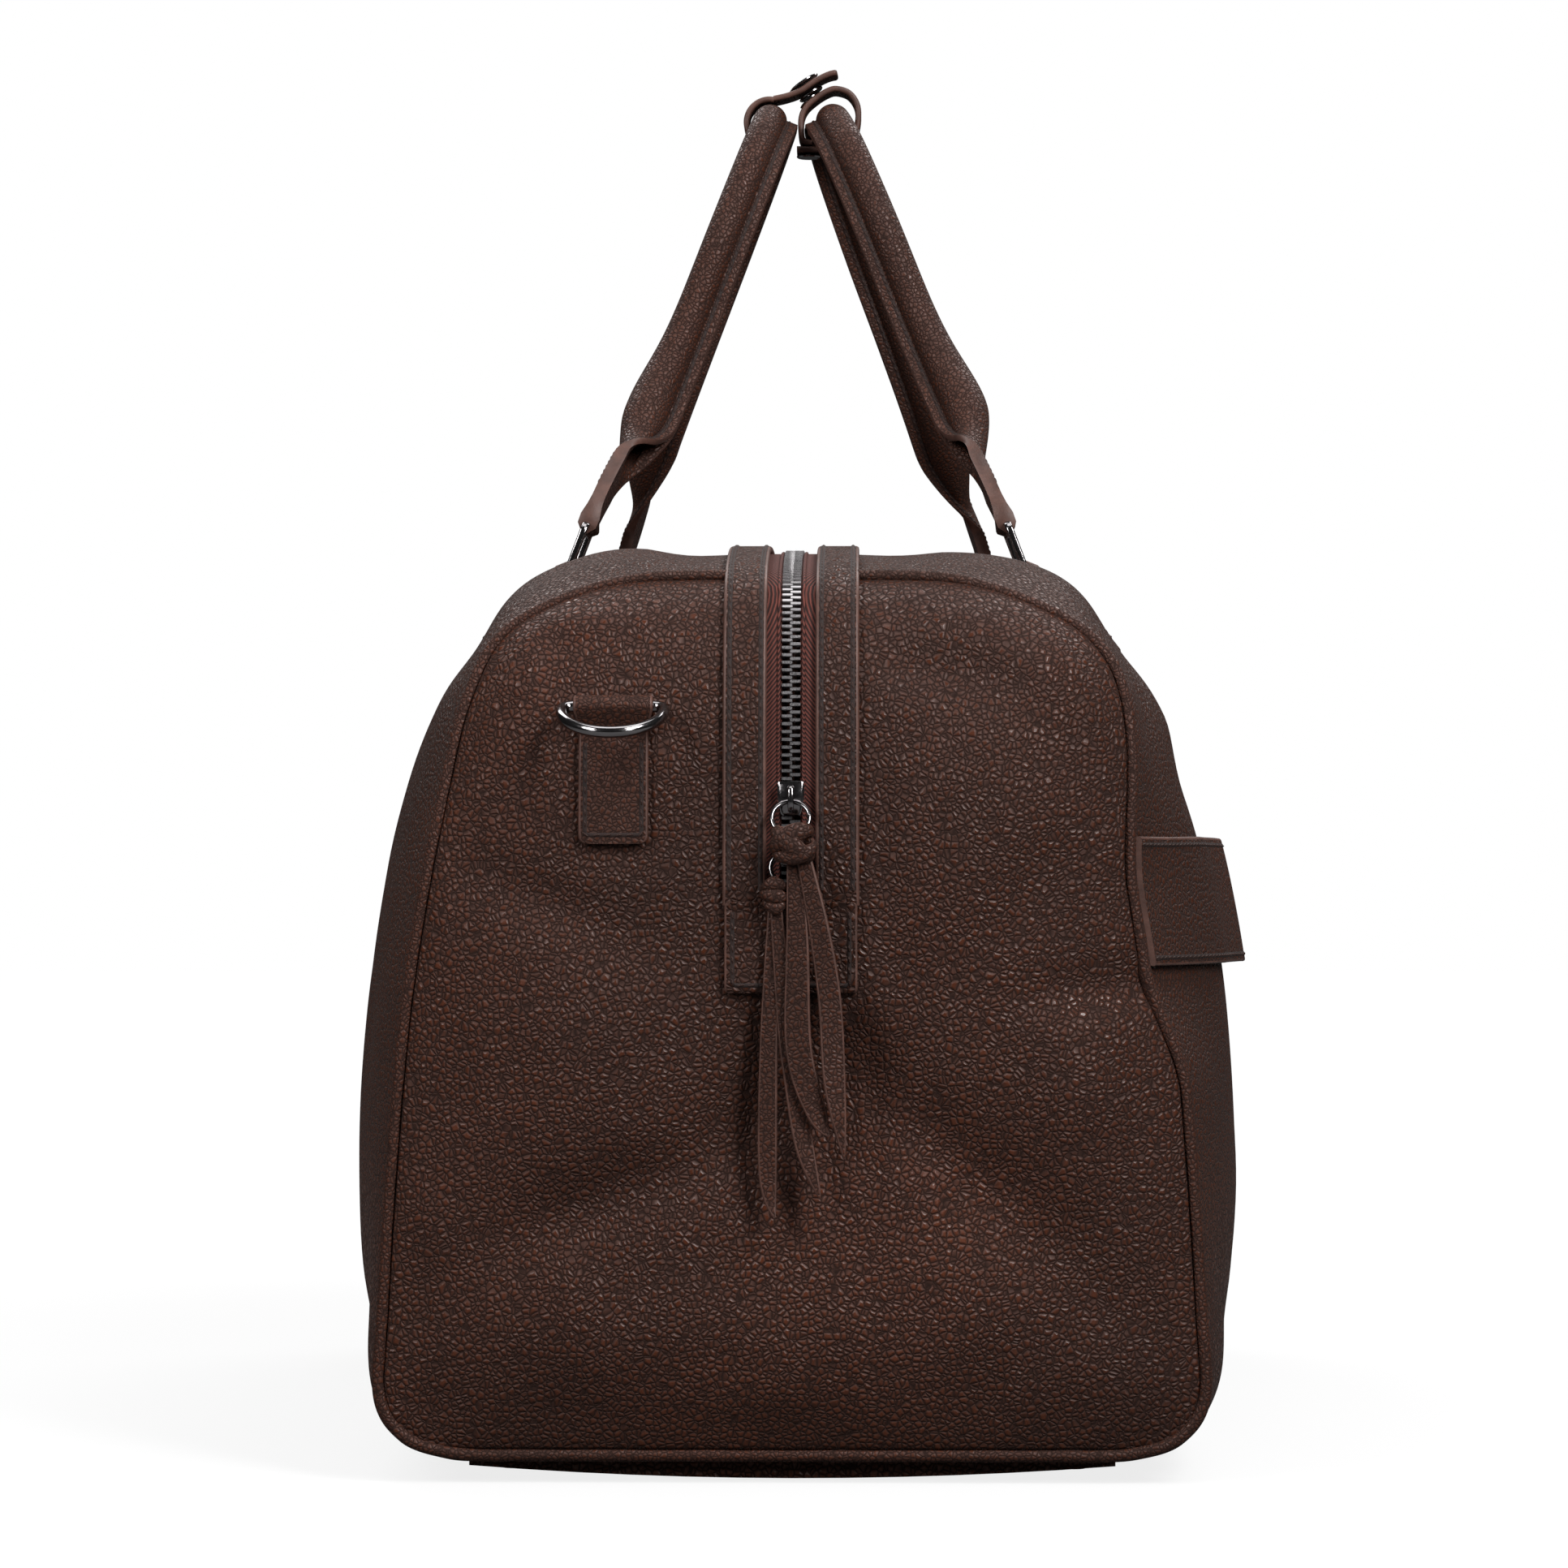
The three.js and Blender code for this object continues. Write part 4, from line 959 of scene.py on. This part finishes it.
# ---------- luggage band ----------
us = np.concatenate([np.linspace(-0.992, -0.5, 40), np.linspace(-0.49, 0.49, 30), np.linspace(0.5, 0.992, 40)])
stand = SKIN_GAP + 6.5 * smoothstep(0.72, 0.5, np.abs(us))
BAND_Z = (165.6, 207.2)


def band_at(i, height, out):
    """A point of the band: height is from its middle line, out is from its inner face."""
    z = (BAND_Z[0] + BAND_Z[1]) / 2 + np.atleast_1d(height)
    v = v_at(us[i], z)
    p = side_point(np.full(len(z), us[i]), v, 1)
    p[:, 1] += 0.4 + stand[i] + out
    return p


strap("band_leather", lambda i, a, n: band_at(i, a, n), np.full(len(us), 20.8), 0.0, 2.2, "bag", across=16, radius=0.9,
      replaces=["luggage_band"])
for name, height in (("low", -18.2), ("high", 18.2)):
    path = np.array([band_at(i, height, 2.3)[0] for i in range(len(us))])
    stitches("band_stitches_" + name, path, (0, 1, 0.1), "bag")

# ---------- handles ----------
PIVOT_Z = 301.643
GRIP = [(64, 57), (50, 80), (42, 108), (37, 142), (25, 173), (10, 187.5), (0, 189)]


def handle_to_world(points, side):
    """From a handle's own plane (x, inwards, up) to the bag's frame. side is -1 for the front."""
    p = np.asarray(points, float)
    c, s = cos(LEAN), sin(LEAN)
    y = p[..., 1] * c + p[..., 2] * s - RING_PIVOT_Y
    z = -p[..., 1] * s + p[..., 2] * c + PIVOT_Z
    turned = 1.0 if side < 0 else -1.0
    return np.stack([p[..., 0] * turned, y * turned, z], -1)


def handle_vector(vector, side):
    """The same for directions."""
    return handle_to_world(vector, side) - handle_to_world(np.zeros(3), side)


def handle_path():
    """The middle line of a handle from ring to ring."""
    right = [(109, 13.6), (109, 15.2), (109, 17), (108.4, 21), (105.5, 25.5), (99, 31.5), (89, 38.5), (78, 46)]
    left = [(-x, h) for x, h in right][::-1]
    keys = np.array([*right, *GRIP, *[(-x, h) for x, h in GRIP[:-1][::-1]], *left], float)
    fine = spline(keys, np.linspace(0, 1, 700))
    points, _ = resample(np.concatenate([fine, 0 * fine[:, :1]], 1), 2.2)
    return points[:, :2]


flat_line = handle_path()
COUNT = len(flat_line)
walk = np.concatenate([[0], np.cumsum(np.linalg.norm(np.diff(flat_line, axis=0), axis=1))])
from_end = np.minimum(walk, walk[-1] - walk)
unrolled = smoothstep(74, 34, from_end)
grip_x = flat_line[:, 0]
inward_shift = HANDLE_TWIST * grip_x * smoothstep(30, 80, from_end)
spine = np.stack([grip_x, inward_shift, flat_line[:, 1]], 1)
along = unit(np.gradient(spine, axis=0))
wide = unit(np.cross(Y_AXIS, along))
LEATHER_T = 2.4


def handle_section(k, steps=44):
    """The sheet's middle line in section at station k: (sideways, inwards) points from edge to edge."""
    gap = 1.2
    r = 5.1 + 1.9 * exp(-(((from_end[k] - 78) / 24) ** 2))
    start = asin(gap / r)
    around = np.linspace(start, 2 * pi - start, steps - 8)
    round_part = [(r * sin(a), r * cos(a) + 5.1 - r) for a in around]
    first = [(gap, b) for b in np.linspace(10.1, 5.4, 4)]
    last = [(-gap, b) for b in np.linspace(5.4, 10.1, 4)]
    rolled = np.array([*first, *round_part, *last])
    share = np.linspace(1, -1, steps)
    half = 11.0 + 2.2 * exp(-(((from_end[k] - 54) / 18) ** 2))
    flat = np.stack([share * (half - LEATHER_T / 2), 0 * share], 1)
    w = unrolled[k]
    return rolled * (1 - w) + flat * w


def handle_rings():
    """The outlines of a handle's leather at each station, with the two faces and normals stitches need."""
    rings, outer_edges = [], []
    for k in range(COUNT):
        middle = handle_section(k)
        tangent = unit(np.gradient(middle, axis=0))
        normal = np.stack([-tangent[:, 1], tangent[:, 0]], 1)
        if from_end[k] < 8:
            thick = 2.3 + 1.2 * float(smoothstep(8, 4, from_end[k]))
            thick *= sqrt(max(0.06, 1 - max(0.0, (3.2 - from_end[k]) / 3.4) ** 2))
        else:
            thick = LEATHER_T / 2 + (2.3 - LEATHER_T / 2) * float(smoothstep(46, 30, from_end[k]))
        a = middle + normal * thick
        b = middle - normal * thick
        tip = 0.35 * thick * (1 - 2.2 * float(smoothstep(46, 30, from_end[k])) * float(smoothstep(6, 12, from_end[k])))
        tip0 = middle[0] - tangent[0] * tip
        tip1 = middle[-1] + tangent[-1] * tip
        outline = np.array([*a, tip1, *b[::-1], tip0])
        rings.append(spine[k] + np.outer(outline[:, 0], wide[k]) + np.outer(outline[:, 1], Y_AXIS))
        outer_edges.append((a, b, normal))
    return np.array(rings), outer_edges


handle_rings_local, handle_edges = handle_rings()
SECTION = handle_rings_local.shape[1]
edge_looks = [0] * SECTION
half_count = (SECTION - 2) // 2
for k in (half_count - 1, half_count, SECTION - 2, SECTION - 1):
    edge_looks[k] = 1

for side, name in ((-1, "front"), (1, "back")):
    nodes = [f"handle_grip_{name}", f"handle_end_{name}_right", f"handle_end_{name}_left"]
    body = name + "_handle"
    loft(f"handle_leather_{name}", handle_to_world(handle_rings_local, side), [STRAP_LEATHER, EDGE], body,
         side_look=edge_looks, cap_look=1, replaces=nodes, slot="leather", sharp=50)
    keep = [k for k in range(COUNT) if from_end[k] > 12]
    for row, index in (("a", 2), ("b", -3)):
        local, normals = [], []
        for k in keep:
            a, b, normal = handle_edges[k]
            outer = a if np.linalg.norm(a[index] - (0, 4)) > np.linalg.norm(b[index] - (0, 4)) else b
            facing = normal[index] if outer is a else -normal[index]
            local.append(spine[k] + outer[index, 0] * wide[k] + outer[index, 1] * Y_AXIS)
            normals.append(facing[0] * wide[k] + facing[1] * Y_AXIS)
        path, up = handle_to_world(local, side), handle_vector(normals, side)
        stitches(f"handle_stitches_{name}_{row}", path, up, body, pitch=3.2)
    for sx in (1, -1):
        end = "right" if sx * -side > 0 else "left"
        c, w, h = 3.0, 14.5, 8.5
        path = []
        for a, b, start in ((1, 1, 0), (-1, 1, 90), (-1, -1, 180), (1, -1, 270)):
            for turn in np.linspace(0, 90, 8):
                angle = radians(start + turn)
                path.append((sx * RING_X + a * (w - c) + c * cos(angle), 0, h + b * (h - c) + c * sin(angle)))
        square = [[copysign(abs(x) ** 0.5, x) for x in (cos(t), sin(t))] for t in turns(20)]
        world_path = handle_to_world(np.array(path), side)
        plane = handle_vector(Y_AXIS, side)
        tube(f"handle_ring_{name}_{end}_metal", world_path, 1.28, METAL, name + "_rings", plane,
             section=np.array(square), replaces=[f"handle_ring_{name}_{end}"], slot="metal", sharp=50)

        u = sx * -side * RING_X / SEAM_X
        table = side_point(np.full(400, u), np.linspace(0.05, 0.4, 400), side, dents=False)
        v0 = 0.05 + 0.35 * float(np.interp(RING_PIVOT_Y, np.abs(table[:, 1]), np.linspace(0, 1, 400)))
        vs = np.linspace(v0 + 0.117, v0 + 0.035, 12)
        base = side_point(np.full(12, u), vs, side, raised=1.7)
        pivot = np.array([u * SEAM_X, side * RING_PIVOT_Y, PIVOT_Z])
        near = side_point(np.array([u, u]), np.array([v0 - 0.01, v0 + 0.01]), side, dents=False)
        down = unit(near[1] - near[0])
        out = unit(np.cross(X_AXIS, down))
        if out[2] < 0:
            out = -out
        angles = np.radians(np.linspace(0, 190, 16))
        wrap = [pivot + 2.5 * (cos(t) * out - sin(t) * down) for t in angles]
        line = np.array([*base, pivot + 2.0 * out + 4.5 * down, *wrap])
        line = spline(line, np.linspace(0, 1, 60))
        across, height = frame_along(line, X_AXIS)
        if np.dot(height[5], out) < 0:
            height = -height
        widths = np.full(60, 11.0)
        widths[:2] = (10.0, 10.7)
        strap(f"chape_{name}_{end}_leather", lambda i, a, n: line[i] + np.outer(a, across[i]) + np.outer(n, height[i]),
              widths, -0.95, 0.95, "bag", look=STRAP_LEATHER, radius=0.7, replaces=[f"chape_{name}_{end}"])
        corners = [(-8.8, 26), (-8.8, 1), (8.8, 1), (8.8, 26)]
        fine = resample(np.array([(a, b, 0) for a, b in corners], float), 0.8)[0]
        down_tab = np.clip(fine[:, 1], 0, 40)
        lift = between(down_tab, np.arange(60), height)
        path = between(down_tab, np.arange(60), line) + np.outer(fine[:, 0], [1.0, 0, 0]) + lift
        stitches(f"chape_stitches_{name}_{end}", path, lift, "bag", pitch=3.2)

# ---------- keeper ----------
angles = np.radians(np.linspace(78, 300, 24))
KEEPER = {
    "keeper_front_wrap": ("front_handle", [(-11.8 + 8.5 * cos(a), 478 + 8.5 * sin(a)) for a in angles]),
    "keeper_tail": ("keeper_flap", [
        (-10.1, 486.75), (-5.3, 487.8), (-0.2, 489.7), (4.9, 493.1), (10, 495.7), (13.7, 496.6)]),
    "keeper_back_loop": ("back_handle", [
        (4.2, 470.3), (1.2, 470.7), (0.2, 473.5), (0.2, 479.5), (2, 483.6), (5.8, 487), (10, 489.6), (13.4, 490.4),
        (18.1, 488.8), (21, 484.5), (21.4, 479), (19.8, 473), (15.5, 468.8), (9.5, 467.8), (4, 467.8), (-1.5, 467.8)]),
}
for name, (body, keys) in KEEPER.items():
    fine = spline(np.array(keys), np.linspace(0, 1, 70))
    path = np.stack([0 * fine[:, 0], fine[:, 0], fine[:, 1]], 1)
    across, height = frame_along(path, X_AXIS)
    halves = np.full(70, 6.4)
    if name == "keeper_tail":
        halves[-6:] = 6.4 * np.sqrt(1 - np.linspace(0.05, 0.9, 6) ** 2)
    strap(name + "_leather", lambda i, a, n: path[i] + np.outer(a, across[i]) + np.outer(n, height[i]),
          halves, -1.1, 1.1, body, look=STRAP_LEATHER, radius=1.0, replaces=[name])

DISCS = {
    "snap_cap": ("keeper_flap", 6.2, 1.2, 1.0, 493.5, 33.5, True),
    "snap_socket": ("keeper_flap", 5.0, 1.4, 3.7, 489.4, 33.5, False),
    "snap_stud": ("back_handle", 4.6, 1.0, 3.3, 487.1, 40.0, False),
    "keeper_rivet": ("back_handle", 4.6, 1.2, 3.0, 465.8, 0.0, False),
}
for name, (body, r, thick, y, z, slope, domed) in DISCS.items():
    half = thick / 2
    top = [(r * 0.2, half + 0.1 * domed), (r * 0.6, half), (r * 0.86, half * 0.8), (r, half * 0.2)]
    profile = [*top, (r, -half * 0.4), (r * 0.92, -half), (r * 0.3, -half)]
    points, faces = lathe(profile)
    c, s = cos(radians(slope)), sin(radians(slope))
    across, up = points[:, 1], points[:, 2]
    placed = np.stack([points[:, 0], y + across * c - up * s, z + across * s + up * c], 1)
    build(name + "_metal", placed, faces, [METAL], body, [name], "metal", sharp=30)

# ---------- base and feet ----------
for sx, end in ((1, "right"), (-1, "left")):
    for sy, face in ((-1, "front"), (1, "back")):
        top = 3.1
        profile = [(0.5, 0.0), (4.2, 0.0), (5.0, 0.35), (5.6, 1.2), (5.9, 2.2), (5.9, top), (0.5, top)]
        points, faces = lathe(profile)
        points = points + np.array([sx * 200, sy * 92, 0])
        build(f"foot_{face}_{end}_metal", points, faces, [METAL], "bag", [f"foot_{face}_{end}"], "metal", sharp=35)

# ---------- looks of the CAD nodes that stay ----------
KEPT = {
    "base_panel": LEATHER, "base_board": BOARD, "base_lining": CLOTH,
    "handle_core_front": CLOTH, "handle_core_back": CLOTH,
}
for name, look in KEPT.items():
    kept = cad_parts[name]
    kept.data.materials.clear()
    kept.data.materials.append(look)
